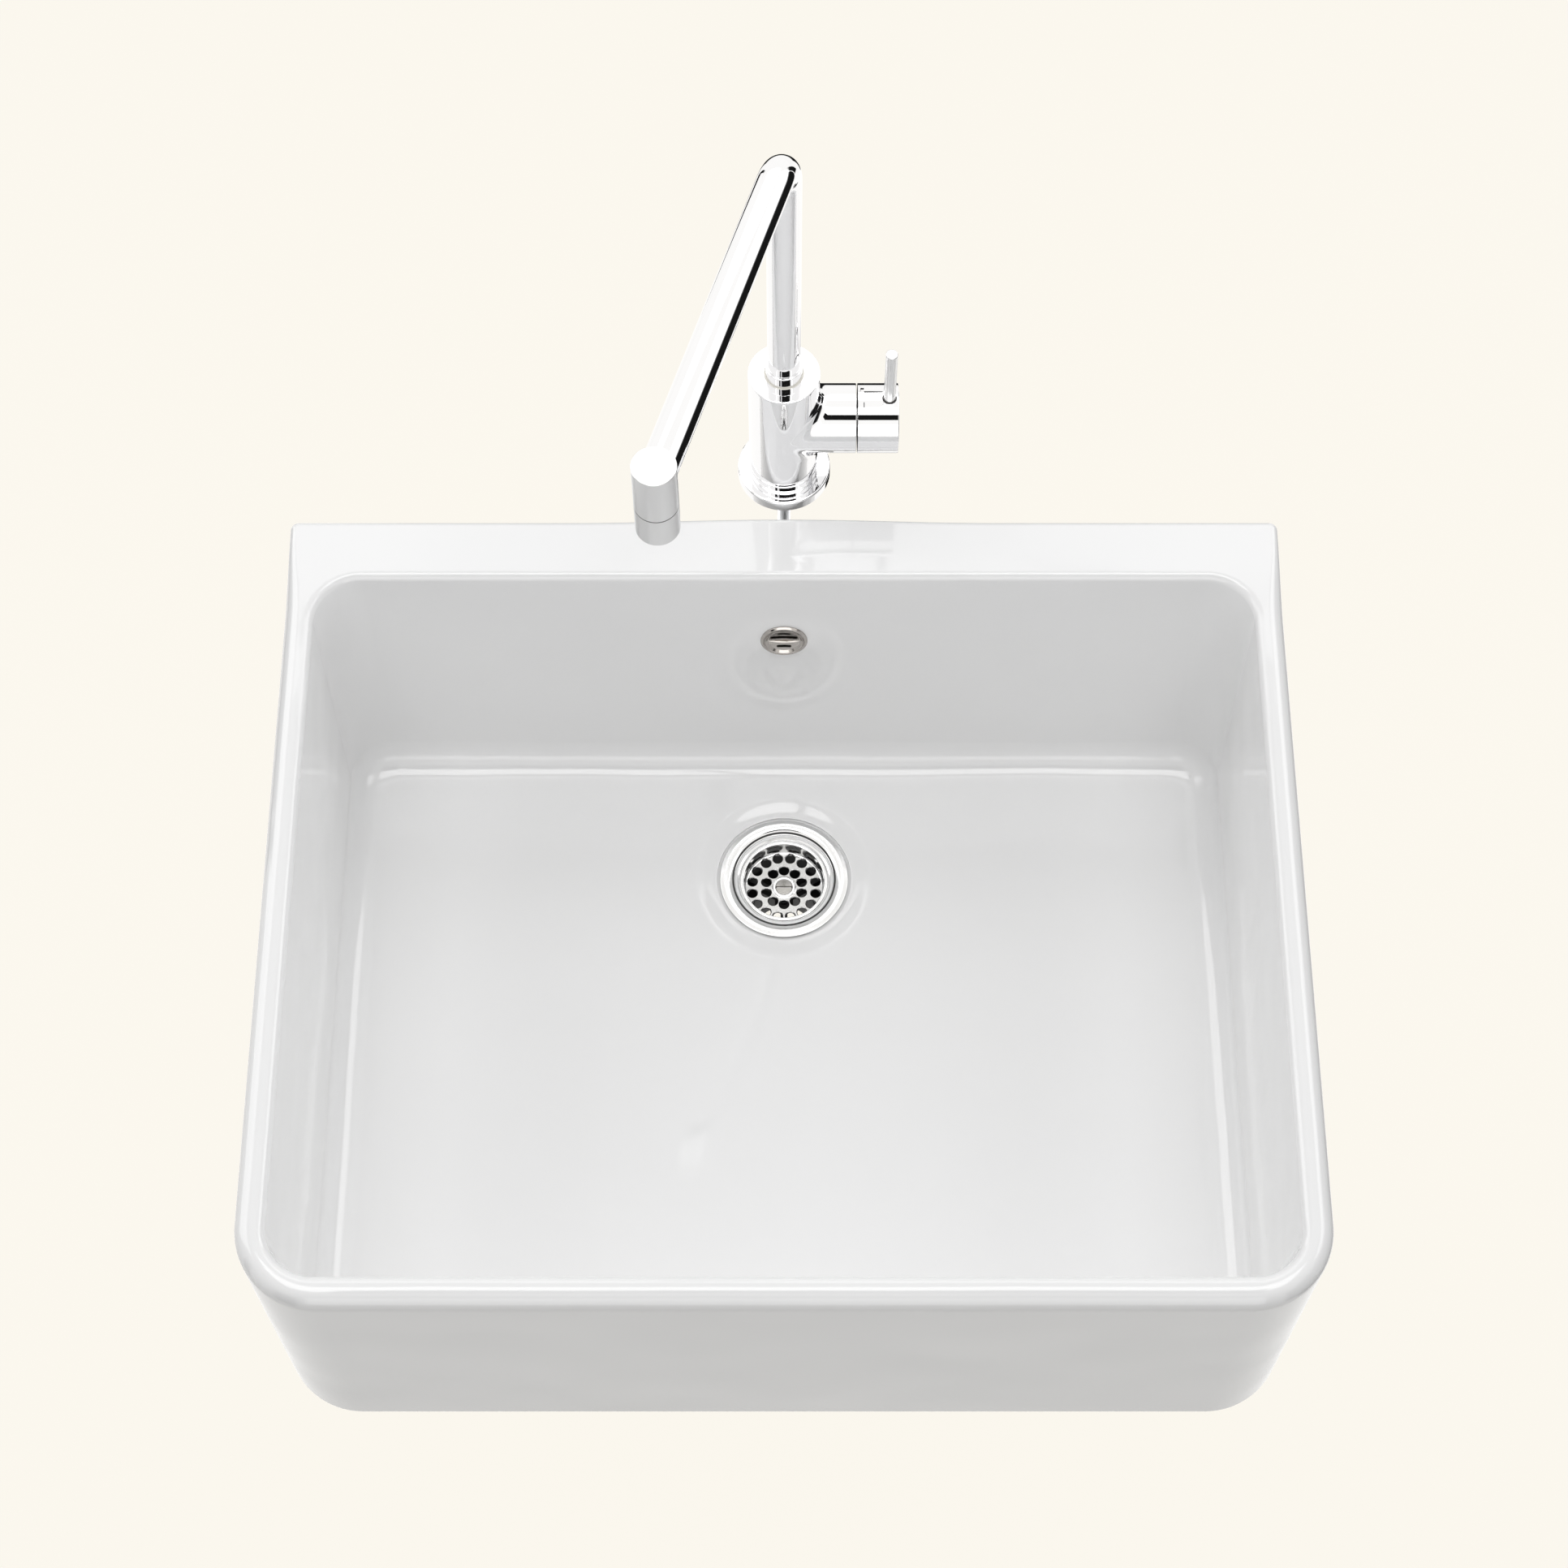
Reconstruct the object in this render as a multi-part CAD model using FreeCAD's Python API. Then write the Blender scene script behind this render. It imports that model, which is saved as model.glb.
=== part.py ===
import FreeCAD, Part
import math
import os

from FreeCAD import Vector as V

os.makedirs("parts", exist_ok=True)

# A fireclay apron front sink with its strainer waste, overflow and single lever mixer tap.
# Frame: millimetres, +Z up, +X to the user's right, +Y towards the wall.
# The origin is the centre of the sink's flat underside, and the rim is at z = SINK_HEIGHT.

# ---------------------------------------------------------------- sink, driving sizes
SINK_WIDTH = 598.0
SINK_DEPTH = 490.0
SINK_HEIGHT = 220.0
FLOOR_THICK = 30.0         # ceramic under the bowl
SIDE_RIM = 17.5            # thickness of the side walls at the rim
FRONT_RIM = 17.5           # thickness of the apron at the rim
LEDGE = 40.0               # flat ledge behind the bowl
SIDE_LEAN = 1.0            # degrees off vertical
FRONT_LEAN = 2.0
REAR_LEAN = 7.0
APRON_CORNER = 48.0        # plan radius of the two front corners
REAR_CORNER = 4.0
BOWL_CORNER = 28.0
BOWL_FILLET = 20.0         # between walls and floor
RIM_ROLL = 11.0            # outer roll of the front and side rims
RIM_INNER = 5.5            # rounding of the bowl's mouth
FOOT_ROUND = 6.0           # rounding of the underside's edge, front and sides
BULGE = 2.5                # the back swells over the cast overflow channel
BULGE_HALF = 130.0

# ---------------------------------------------------------------- waste, driving sizes
DRAIN_BACK = 150.0         # waste centre to the back face
DRAIN_HOLE_R = 30.0
FLANGE_R = 41.0
FLANGE_LIP = 3.0           # flat lip outside the flange's dish
DISH_DROP = 4.0
SHEET = 1.4                # pressed steel thickness
CUP_WALL = 1.1
RECESS_WIDTH = 13.5        # shallow cone in the ceramic round the flange
RECESS_DROP = 2.6
GASKET = 1.2
CUP_DROP = 14.8            # flange top to the strainer's plate
HOLE_R = 3.1               # strainer holes
OUTER_HOLES, INNER_HOLES = 16, 10
SIDE_SLOTS, SLOT_WIDTH, SLOT_HEIGHT = 12, 9.6, 5.4
SLOT_ABOVE = 1.6           # side slots above the strainer's plate
SCREW_R = 3.0              # M6 centre screw
SCREW_HEAD_R = 5.2
SCREW_SLOT = 1.2
OUTLET_R = 23.9            # 1 1/2 inch pipe thread
OUTLET_WALL = 3.9
OUTLET_DROP = 62.0         # underside of the sink to the end of the outlet
WASTE_LAP = 14.0           # waste body's flange beyond the hole
WASTE_FLANGE = 5.0
FUNNEL = 22.0              # from the waste body's flange to its outlet
SPIDER_BOSS_R = 6.0
SPIDER_DEPTH = 16.0
SPIDER_ARM = 4.4
LOWER_GASKET = 3.0
UNDER_RELIEF = 3.0         # the underside is relieved round the waste body's flange

# ---------------------------------------------------------------- overflow, driving sizes
OVERFLOW_BELOW_RIM = 63.0
OVERFLOW_HOLE_R = 12.0
GRILLE_LAP = 2.5           # grille's rim beyond the hole
GRILLE_PROUD = 1.7
GRILLE_WALL = 1.2
GRILLE_SPIGOT = 9.0
GRILLE_SLOT = 2.4
GRILLE_ROWS = ((6.0, 10.0), (2.0, 19.0), (-2.0, 19.0), (-6.0, 10.0))   # height, slot length
SLEEVE = 14.0
CHANNEL_WIDTH = 50.0
CHANNEL_THICK = 14.0
CHANNEL_BACK_WALL = 12.0
CHANNEL_FLOOR = 8.0
CHANNEL_HEIGHT = 11.5

# ---------------------------------------------------------------- tap, driving sizes
TAP_BEHIND = 34.5          # tap axis behind the sink's back face
BASE_R = 28.0
BASE_HEIGHT = 8.0
BASE_GASKET = 1.0
PLINTH_HEIGHT = 6.0
BODY_R = 21.0
CROWN = 26.4               # body above the top of the neck
SHANK_R = 16.5             # part of the body that drops into a 35 mm tap hole
SHANK_DROP = 1.0
LOCK_R = 2.0               # grub screw that keeps the spout in the body
NECK_R = 20.6
NECK_END = 42.6            # from the tap axis
NECK_WALL = 3.2
VALVE_HEIGHT = 60.0        # valve axis above the rim
PIPE_R = 9.7
PIPE_WALL = 1.5
O_RING = 1.0               # radius of the O-rings' section
BEND_R = 18.0              # centre line radius of the spout's bend
ARM_HEIGHT = 304.0         # arm axis above the rim
REACH = 206.5              # tap axis to nozzle axis
SWING = 18.0               # degrees to the left of straight ahead
COLLAR_WALL = 1.0
COLLAR_HEIGHT = 8.0
NOZZLE_R = 11.5
NOZZLE_ABOVE = 12.0        # nozzle top above the arm axis
NOZZLE_HEIGHT = 34.3
NOZZLE_WALL = 1.8
ARM_INSET = 5.0            # end of the arm from the nozzle's axis
SPIGOT = 7.0               # aerator's thread inside the nozzle
AERATOR_HEIGHT = 22.4
AERATOR_WALL = 1.4
AERATOR_DEPTH = 10.0
AERATOR_CELL = 2.6         # across the flats of one cell
HANDLE_GAP = 0.8           # seam between neck and handle
HANDLE_LENGTH = 24.2
LEVER_R = 3.5
LEVER_LENGTH = 45.5
LEVER_INSET = 5.6          # lever axis from the handle's outer end
LEVER_FOOT = 6.0           # thread inside the handle
COLLAR_LIP = 0.9           # washer ring round the lever's foot
GRUB_R = 2.5               # grub screw that clamps the handle on its stem
WATERWAY_R = 3.0
INLET_DEPTH = 12.0         # hose sockets above the rim
FEED_OUT = 2.0             # risers to the valve, from the tap axis
FEED_BELOW = 4.0           # and where they turn, below the valve axis
STUD_DEPTH = 6.0           # studs in the body, above the rim
PIPE_LAP = 12.0            # brass foot inside the pipe

# ---------------------------------------------------------------- mixing valve, driving sizes
SEAT_X = 8.0               # floor of the neck's pocket, from the tap axis
BASE_PLATE = 2.4
DISC = 3.4
INLET_PORT_R = 2.6
PORT_OUT = 6.0             # ports from the valve axis
PIVOT_DEPTH = 12.6         # stem's pivot inside the neck's end
CARRIER_R = 10.0
CARRIER_BELOW, CARRIER_ABOVE = 4.0, 9.0
STEM = 8.0                 # square of the cartridge stem
PIN_R = 2.0
NUT_DEPTH = 7.6
NUT_LAP = 1.2              # ring nut beyond the cartridge

# ---------------------------------------------------------------- tap carrier, driving sizes
PLATE = 3.0
CARRIER_WIDTH = 120.0
CARRIER_HEIGHT = 74.0
CARRIER_TOP = 8.0          # back plate above the shelf
PLATE_CORNER = 8.0
SHELF_CORNER = 10.0
GUSSET_TIP = 14.0          # gussets end short of the shelf's tip
GUSSET_FOOT = 6.0          # and start above the plate's lower edge
SHELF_DROP = 105.0         # rim to the top of the shelf
SHELF_WIDTH = 64.0
SHELF_BEYOND = 24.5        # shelf beyond the tap axis
CARRIER_SCREW_X = 45.0
CARRIER_SCREW_DROP = 12.0
CARRIER_SCREW_GAP = 40.0
INSERT_R = 4.5
INSERT_LENGTH = 14.0
BOLT_FLATS, BOLT_HEAD = 10.0, 4.0
WASHER_R, WASHER = 6.0, 1.2
STUD_R = 4.0
STUD_MARGIN = 1.5          # stud to the side of the shank
STUD_TAIL = 4.0            # stud below its nut
INLET_R = 4.5              # M10x1 hose sockets
HOSE_HOLE_R = 8.0
CLAMP_R = 22.0
CLAMP_RUBBER = 2.0
CLAMP_PLATE = 2.5
NUT_FLATS, NUT_HEIGHT = 13.0, 6.5

# ---------------------------------------------------------------- clearances
RUNNING = 0.05             # radial, between a shaft and its bearing
SNUG = 0.03                # radial, between pieces that are screwed or pushed together
SEAM = 0.3                 # between pieces that turn past each other
SEAT_GAP = 2.0             # round the waste flange in its recess, and its body's below
SHOULDER = 0.6             # between the waste and the ceramic hole
BOLT_PLAY = 0.4            # radial, between a bolt and a punched hole

# ---------------------------------------------------------------- derived places, sink and waste
RIM = SINK_HEIGHT
FRONT_Y = -SINK_DEPTH / 2
BACK_Y = SINK_DEPTH / 2
FLOOR_Z = FLOOR_THICK
BOWL_BACK_Y = BACK_Y - LEDGE
DRAIN_Y = BACK_Y - DRAIN_BACK
SEAT_Z = FLOOR_Z - RECESS_DROP - GASKET
FLANGE_Z = SEAT_Z + GASKET
FLANGE_TOP = FLANGE_Z + SHEET
SKIRT_R = DRAIN_HOLE_R - SHOULDER
CUP_FLOOR_R = DRAIN_HOLE_R - 4.0
CUP_TOP = FLANGE_TOP - DISH_DROP - SHEET * 0.2
CUP_LEDGE = CUP_TOP - SHEET
PLATE_TOP = FLANGE_TOP - CUP_DROP
HEAD_TOP = PLATE_TOP + 0.9
OUTER_PCR = CUP_FLOOR_R - CUP_WALL - HOLE_R - 1.1
INNER_PCR = OUTER_PCR - 8.8
WASTE_TOP = UNDER_RELIEF - LOWER_GASKET
WASTE_R = DRAIN_HOLE_R + WASTE_LAP
SPIDER_LOW = WASTE_TOP - SPIDER_DEPTH
WASTE_SPIGOT = CHANNEL_FLOOR - 2.0

# ---------------------------------------------------------------- derived places, tap
TAP_Y = BACK_Y + TAP_BEHIND
VALVE_Z = RIM + VALVE_HEIGHT
ARM_Z = RIM + ARM_HEIGHT
BASE_Z = RIM + BASE_GASKET
BODY_BASE_Z = BASE_Z + BASE_HEIGHT + PLINTH_HEIGHT
BODY_TOP_Z = VALVE_Z + NECK_R + CROWN
CARTRIDGE_R = NECK_R - NECK_WALL
SPOUT_BORE_Z = VALVE_Z + CARTRIDGE_R + 2.1
FOOT_Z = SPOUT_BORE_Z + 0.5
O_RING_Z = (FOOT_Z + 2.3, FOOT_Z + 6.1)
BUSH_Z = BODY_TOP_Z - 10.0
BUSH_R = PIPE_R + 2.0
GROOVE_Z = BUSH_Z - 3.6
LOCK_Z = GROOVE_Z + 1.5
PIPE_LOW = BODY_TOP_Z + SEAM
SOCKET_REACH = REACH - ARM_INSET
NOZZLE_TOP_Z = ARM_Z + NOZZLE_ABOVE
NOZZLE_LOW_Z = NOZZLE_TOP_Z - NOZZLE_HEIGHT
AERATOR_LOW_Z = NOZZLE_LOW_Z - AERATOR_HEIGHT
SPIGOT_R = NOZZLE_R - NOZZLE_WALL
AERATOR_BORE_R = SPIGOT_R - AERATOR_WALL
INLET_OFFSET = SHANK_R - INLET_R - STUD_MARGIN
STUD_OFFSET = SHANK_R - STUD_R - STUD_MARGIN

PIVOT_X = NECK_END - PIVOT_DEPTH
SHOULDER_X = NECK_END - NUT_DEPTH
CARRIER_LOW, CARRIER_HIGH = PIVOT_X - CARRIER_BELOW, PIVOT_X + CARRIER_ABOVE
NUT_R = CARTRIDGE_R + NUT_LAP
NUT_BORE_R = CARTRIDGE_R - 4.6
DISC_X = SEAT_X + BASE_PLATE + 0.2
MOVING_DISC_X = DISC_X + DISC + 0.1
COVER_X = MOVING_DISC_X + DISC + 0.5
HANDLE_X = NECK_END + HANDLE_GAP
HANDLE_END = HANDLE_X + HANDLE_LENGTH
LEVER_X = HANDLE_END - LEVER_INSET
LEVER_FOOT_R = LEVER_R - 0.95
GRUB_X = LEVER_X - 1.0
STEM_END = HANDLE_END - 4.5

SHELF_Z = RIM - SHELF_DROP
SHELF_LOW = SHELF_Z - PLATE
SHELF_TIP = TAP_Y + SHELF_BEYOND
CLAMP_LOW = SHELF_LOW - CLAMP_RUBBER - CLAMP_PLATE


# ---------------------------------------------------------------- helpers
def save(name, shape):
    """Write one piece, or one group of like pieces, as its own STEP file."""
    shape.exportStep(os.path.join("parts", name + ".step"))


def tube(r_out, r_in, low, high):
    """A ring about the Z axis."""
    outer = Part.makeCylinder(r_out, high - low, V(0, 0, low))
    return outer.cut(Part.makeCylinder(r_in, high - low, V(0, 0, low)))


def rod(start, end, radius):
    """A round bar from one point to another."""
    run = end.sub(start)
    return Part.makeCylinder(radius, run.Length, start, run)


def block(x0, x1, y0, y1, z0, z1):
    """A box from its six limits."""
    return Part.makeBox(x1 - x0, y1 - y0, z1 - z0, V(x0, y0, z0))


def turned(points):
    """Revolve a closed (radius, height) outline about the Z axis."""
    corners = [V(r, 0, z) for r, z in points]
    face = Part.Face(Part.makePolygon(corners + corners[:1]))
    return face.revolve(V(0, 0, 0), V(0, 0, 1), 360)


def rounded(shape, radius, chosen):
    """Fillet the edges for which chosen(edge) holds."""
    return shape.makeFillet(radius, [e for e in shape.Edges if chosen(e)])


def circle_at(height, radius):
    """A test for round edges at one height and radius about the Z axis."""
    def test(edge):
        box = edge.BoundBox
        flat = box.ZLength < 0.01 and abs(box.ZMin - height) < 0.01
        return flat and abs(box.XMax - radius) < 0.01
    return test


def ring_of(shape, count, first_angle=0.0):
    """Copies of a shape spaced evenly round the Z axis."""
    copies = []
    for index in range(count):
        copy = shape.copy()
        copy.rotate(V(0, 0, 0), V(0, 0, 1), first_angle + index * 360.0 / count)
        copies.append(copy)
    return copies


def moved(shape, x=0.0, y=0.0, z=0.0):
    """The same shape at another place."""
    copy = shape.copy()
    copy.translate(V(x, y, z))
    return copy


def along_x(shape):
    """Turn a shape made about Z so that its height runs along +X on the valve axis."""
    copy = shape.copy()
    copy.rotate(V(0, 0, 0), V(0, 1, 0), 90)
    return moved(copy, y=TAP_Y, z=VALVE_Z)


def at_drain(shape):
    """Move a shape made about the Z axis onto the waste's axis."""
    return moved(shape, y=DRAIN_Y)


def at_tap(shape):
    """Move a shape made about the Z axis onto the tap's axis."""
    return moved(shape, y=TAP_Y)


def hexagon(flats, low, high):
    """A hexagonal prism about the Z axis, measured across its flats."""
    reach = flats / math.sqrt(3)
    angles = [math.radians(60 * k) for k in range(6)]
    corners = [V(reach * math.cos(a), reach * math.sin(a), low) for a in angles]
    face = Part.Face(Part.makePolygon(corners + corners[:1]))
    return face.extrude(V(0, 0, high - low))


# ---------------------------------------------------------------- the ceramic
def sink_outline():
    """Plan of the sink: round front corners, and a back that swells over the channel."""
    half = SINK_WIDTH / 2
    corner = APRON_CORNER
    low = corner * (1 - math.sqrt(0.5))
    left, right = V(-half, BACK_Y, 0), V(half, BACK_Y, 0)
    edges = [
        Part.LineSegment(left, V(-half, FRONT_Y + corner, 0)),
        Part.Arc(V(-half, FRONT_Y + corner, 0), V(-half + low, FRONT_Y + low, 0),
                 V(-half + corner, FRONT_Y, 0)),
        Part.LineSegment(V(-half + corner, FRONT_Y, 0), V(half - corner, FRONT_Y, 0)),
        Part.Arc(V(half - corner, FRONT_Y, 0), V(half - low, FRONT_Y + low, 0),
                 V(half, FRONT_Y + corner, 0)),
        Part.LineSegment(V(half, FRONT_Y + corner, 0), right),
        Part.LineSegment(right, V(BULGE_HALF, BACK_Y, 0)),
    ]
    quarter = BULGE_HALF / 2
    radius = (quarter ** 2 + (BULGE / 2) ** 2) / BULGE
    sag = radius - math.sqrt(radius ** 2 - (quarter / 2) ** 2)
    for side in (1, -1):
        far, mid = V(side * BULGE_HALF, BACK_Y, 0), V(side * quarter, BACK_Y + BULGE / 2, 0)
        top = V(0, BACK_Y + BULGE, 0)
        rise = Part.Arc(far, V(side * quarter * 1.5, BACK_Y + sag, 0), mid)
        crown = Part.Arc(mid, V(side * quarter / 2, BACK_Y + BULGE - sag, 0), top)
        edges += [rise, crown]
    edges.append(Part.LineSegment(V(-BULGE_HALF, BACK_Y, 0), left))
    return Part.Wire(Part.__sortEdges__([e.toShape() for e in edges]))


def sink_block():
    """The outside of the sink, with its rolled rim."""
    body = Part.Face(sink_outline()).extrude(V(0, 0, SINK_HEIGHT))

    def rim_edge(edge):
        box = edge.BoundBox
        return box.ZMin > SINK_HEIGHT - 0.01 and edge.CenterOfMass.y < BACK_Y - 1

    def foot_edge(edge):
        return edge.BoundBox.ZMax < 0.01 and edge.CenterOfMass.y < BACK_Y - 1

    def back_edge(edge):
        box = edge.BoundBox
        upright = box.ZLength > SINK_HEIGHT / 2
        inside = abs(box.Center.x) < SINK_WIDTH / 2 - 1
        return box.YMin > BACK_Y - 0.01 and not (upright and inside)

    body = rounded(body, RIM_ROLL, rim_edge)
    body = rounded(body, FOOT_ROUND, foot_edge)
    return rounded(body, REAR_CORNER, back_edge)


def bowl_space():
    """The hollow of the bowl: leaning walls, round corners and a filleted floor."""
    above = 1.0

    def section(height):
        drop = SINK_HEIGHT - height
        side = SINK_WIDTH / 2 - SIDE_RIM - drop * math.tan(math.radians(SIDE_LEAN))
        front = FRONT_Y + FRONT_RIM + drop * math.tan(math.radians(FRONT_LEAN))
        back = BOWL_BACK_Y - drop * math.tan(math.radians(REAR_LEAN))
        corners = [V(-side, front, height), V(side, front, height),
                   V(side, back, height), V(-side, back, height)]
        return Part.makePolygon(corners + corners[:1])

    space = Part.makeLoft([section(FLOOR_Z), section(SINK_HEIGHT + above)], True, True)

    def upright(edge):
        return edge.BoundBox.ZLength > SINK_HEIGHT - FLOOR_Z - 1

    space = rounded(space, BOWL_CORNER, upright)
    return rounded(space, BOWL_FILLET, lambda e: e.BoundBox.ZMax < FLOOR_Z + 0.01)


def overflow_axis():
    """The overflow's centre on the leaning rear wall, and the way it faces."""
    lean = math.radians(REAR_LEAN)
    y = BOWL_BACK_Y - OVERFLOW_BELOW_RIM * math.tan(lean)
    centre = V(0, y, RIM - OVERFLOW_BELOW_RIM)
    return centre, V(0, -math.cos(lean), math.sin(lean))


def on_overflow(shape):
    """Place a shape made about Z so that its height faces out of the rear wall."""
    centre, _ = overflow_axis()
    copy = shape.copy()
    copy.rotate(V(0, 0, 0), V(1, 0, 0), 90 - REAR_LEAN)
    copy.translate(centre)
    return copy


def channel_space():
    """The cast overflow channel: down the back wall and forward to the waste."""
    half = CHANNEL_WIDTH / 2
    back = BACK_Y - CHANNEL_BACK_WALL
    centre, facing = overflow_axis()
    top = centre.z + OVERFLOW_HOLE_R
    fall = block(-half, half, back - CHANNEL_THICK, back, CHANNEL_FLOOR, top)
    run = block(-half / 2, half / 2, DRAIN_Y, back, CHANNEL_FLOOR, CHANNEL_FLOOR + CHANNEL_HEIGHT)
    bore = rod(centre.add(facing * 8), centre.sub(facing * (back - centre.y - 2)), OVERFLOW_HOLE_R)
    return fall.fuse(run).fuse(bore)


def drain_space():
    """The waste hole, its relief below, its flat seat and the shallow cone round it."""
    seat_r = FLANGE_R + SEAT_GAP
    cone_r = seat_r + RECESS_WIDTH
    under_r = WASTE_R + SEAT_GAP
    return at_drain(turned([
        (0, -1), (under_r, -1), (under_r, UNDER_RELIEF), (DRAIN_HOLE_R, UNDER_RELIEF),
        (DRAIN_HOLE_R, SEAT_Z), (seat_r, SEAT_Z),
        (seat_r, FLOOR_Z - RECESS_DROP), (cone_r, FLOOR_Z), (cone_r, FLOOR_Z + 1),
        (0, FLOOR_Z + 1)]))


def carrier_places():
    """Where the carrier's four screws enter the back of the sink."""
    low = SHELF_Z - CARRIER_SCREW_DROP - CARRIER_SCREW_GAP
    return [(side * CARRIER_SCREW_X, z) for z in (low, low + CARRIER_SCREW_GAP) for side in (-1, 1)]


def carrier_limits():
    """Lowest and highest points of the carrier's back plate."""
    top = SHELF_Z + CARRIER_TOP
    return top - CARRIER_HEIGHT, top


def sink_bowl():
    bowl = sink_block().cut(bowl_space())

    def mouth(edge):
        box = edge.BoundBox
        inside = abs(edge.CenterOfMass.x) < SINK_WIDTH / 2 - RIM_ROLL - 1
        level = box.ZMin > SINK_HEIGHT - 0.01
        deep = FRONT_Y + RIM_ROLL + 1 < edge.CenterOfMass.y < BOWL_BACK_Y + 1
        return level and inside and deep

    bowl = rounded(bowl, RIM_INNER, mouth)
    bowl = bowl.cut(channel_space()).cut(drain_space())
    low, high = carrier_limits()
    wide = CARRIER_WIDTH / 2 + SEAM
    bowl = bowl.cut(block(-wide, wide, BACK_Y, BACK_Y + 2 * BULGE, low - SEAM, high + SEAM))
    for x, z in carrier_places():
        hole = rod(V(x, BACK_Y + 1, z), V(x, BACK_Y - INSERT_LENGTH - 1, z), INSERT_R + SNUG)
        bowl = bowl.cut(hole)
    return bowl


# ---------------------------------------------------------------- the overflow's fittings
def overflow_grille():
    """A round dished grille with four rows of slots and a short spigot."""
    spigot_r = OVERFLOW_HOLE_R - GRILLE_WALL
    rim_r = OVERFLOW_HOLE_R + GRILLE_LAP
    inner_r = spigot_r - GRILLE_WALL
    rim = turned([
        (0, -1.6), (inner_r, -1.6), (inner_r, -GRILLE_SPIGOT), (spigot_r, -GRILLE_SPIGOT),
        (spigot_r, 0), (rim_r, 0), (rim_r, GRILLE_PROUD * 0.4),
        (rim_r - 1.2, GRILLE_PROUD), (spigot_r + 0.6, GRILLE_PROUD),
        (spigot_r - 1.4, GRILLE_PROUD * 0.3), (0, -0.4)])
    for row, width in GRILLE_ROWS:
        half, tall = width / 2, GRILLE_SLOT / 2
        rim = rim.cut(block(-half, half, row - tall, row + tall, -2, GRILLE_PROUD))
    return on_overflow(rim)


def overflow_sleeve():
    """The plastic sleeve that grips the grille in the ceramic."""
    inner = OVERFLOW_HOLE_R - GRILLE_WALL + SNUG
    return on_overflow(tube(OVERFLOW_HOLE_R - SNUG, inner, -SLEEVE, -0.2))


# ---------------------------------------------------------------- the waste
def flange_gasket():
    return at_drain(tube(FLANGE_R - 2, SKIRT_R + 2.6, SEAT_Z, FLANGE_Z))


def waste_flange():
    """Pressed ring: flat lip, dished throat, and a short skirt with a ledge for the cup."""
    dish_r = FLANGE_R - FLANGE_LIP
    inner_r = SKIRT_R - SHEET
    ledge_r = CUP_FLOOR_R + 1.2
    ledge_low = CUP_LEDGE - 1.2
    ring = turned([
        (SKIRT_R, FLANGE_Z - DISH_DROP), (SKIRT_R + 1.2, FLANGE_Z - 0.6),
        (SKIRT_R + 2.4, FLANGE_Z), (FLANGE_R, FLANGE_Z), (FLANGE_R, FLANGE_TOP - 0.5),
        (FLANGE_R - 0.6, FLANGE_TOP), (dish_r, FLANGE_TOP), (dish_r - 1.2, FLANGE_TOP - 0.3),
        (SKIRT_R - 0.5, FLANGE_TOP - DISH_DROP), (inner_r, FLANGE_TOP - DISH_DROP - 0.8),
        (inner_r, CUP_LEDGE), (ledge_r, CUP_LEDGE), (ledge_r, ledge_low), (SKIRT_R, ledge_low)])
    return at_drain(ring)


def cup_profile():
    """Half section of the strainer cup, before it is pierced."""
    lip_r = SKIRT_R - SHEET - 0.1
    wall_r = CUP_FLOOR_R + 0.8
    low = PLATE_TOP - SHEET
    return [
        (0, low), (CUP_FLOOR_R - 1.0, low), (CUP_FLOOR_R, low + 1.0), (wall_r, CUP_LEDGE),
        (lip_r, CUP_LEDGE), (lip_r, CUP_TOP - 0.4), (lip_r - 0.4, CUP_TOP),
        (wall_r - CUP_WALL, CUP_TOP), (wall_r - CUP_WALL - 0.6, CUP_TOP - 0.8),
        (CUP_FLOOR_R - CUP_WALL, PLATE_TOP + 0.8), (CUP_FLOOR_R - CUP_WALL - 0.8, PLATE_TOP),
        (SCREW_HEAD_R + 2.2, PLATE_TOP), (SCREW_HEAD_R + 1.6, PLATE_TOP + 0.8),
        (SCREW_HEAD_R + 0.4, PLATE_TOP + 0.8), (SCREW_HEAD_R + 0.1, PLATE_TOP + 0.4),
        (SCREW_R + BOLT_PLAY, low + 0.4), (0, low + 0.4)]


def strainer_cup():
    """Pressed cup with a pierced floor, slotted wall and a dimple for the screw."""
    below, deep = PLATE_TOP - 2 * SHEET, 3 * SHEET
    cup = turned(cup_profile())
    cup = cup.cut(Part.makeCylinder(SCREW_R + BOLT_PLAY, deep, V(0, 0, below)))
    outer = Part.makeCylinder(HOLE_R, deep, V(OUTER_PCR, 0, below))
    inner = Part.makeCylinder(HOLE_R, deep, V(INNER_PCR, 0, below))
    slot_low = PLATE_TOP + SLOT_ABOVE
    slot = block(CUP_FLOOR_R - 4, CUP_FLOOR_R + 4, -SLOT_WIDTH / 2, SLOT_WIDTH / 2,
                 slot_low, slot_low + SLOT_HEIGHT)
    slot = rounded(slot, SLOT_HEIGHT / 2 - 0.1, lambda e: e.BoundBox.XLength > 7)
    tools = ring_of(outer, OUTER_HOLES, 180.0 / OUTER_HOLES)
    tools += ring_of(inner, INNER_HOLES, 90.0)
    tools += ring_of(slot, SIDE_SLOTS, 180.0 / SIDE_SLOTS)
    return at_drain(cup.cut(Part.makeCompound(tools)))


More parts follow.
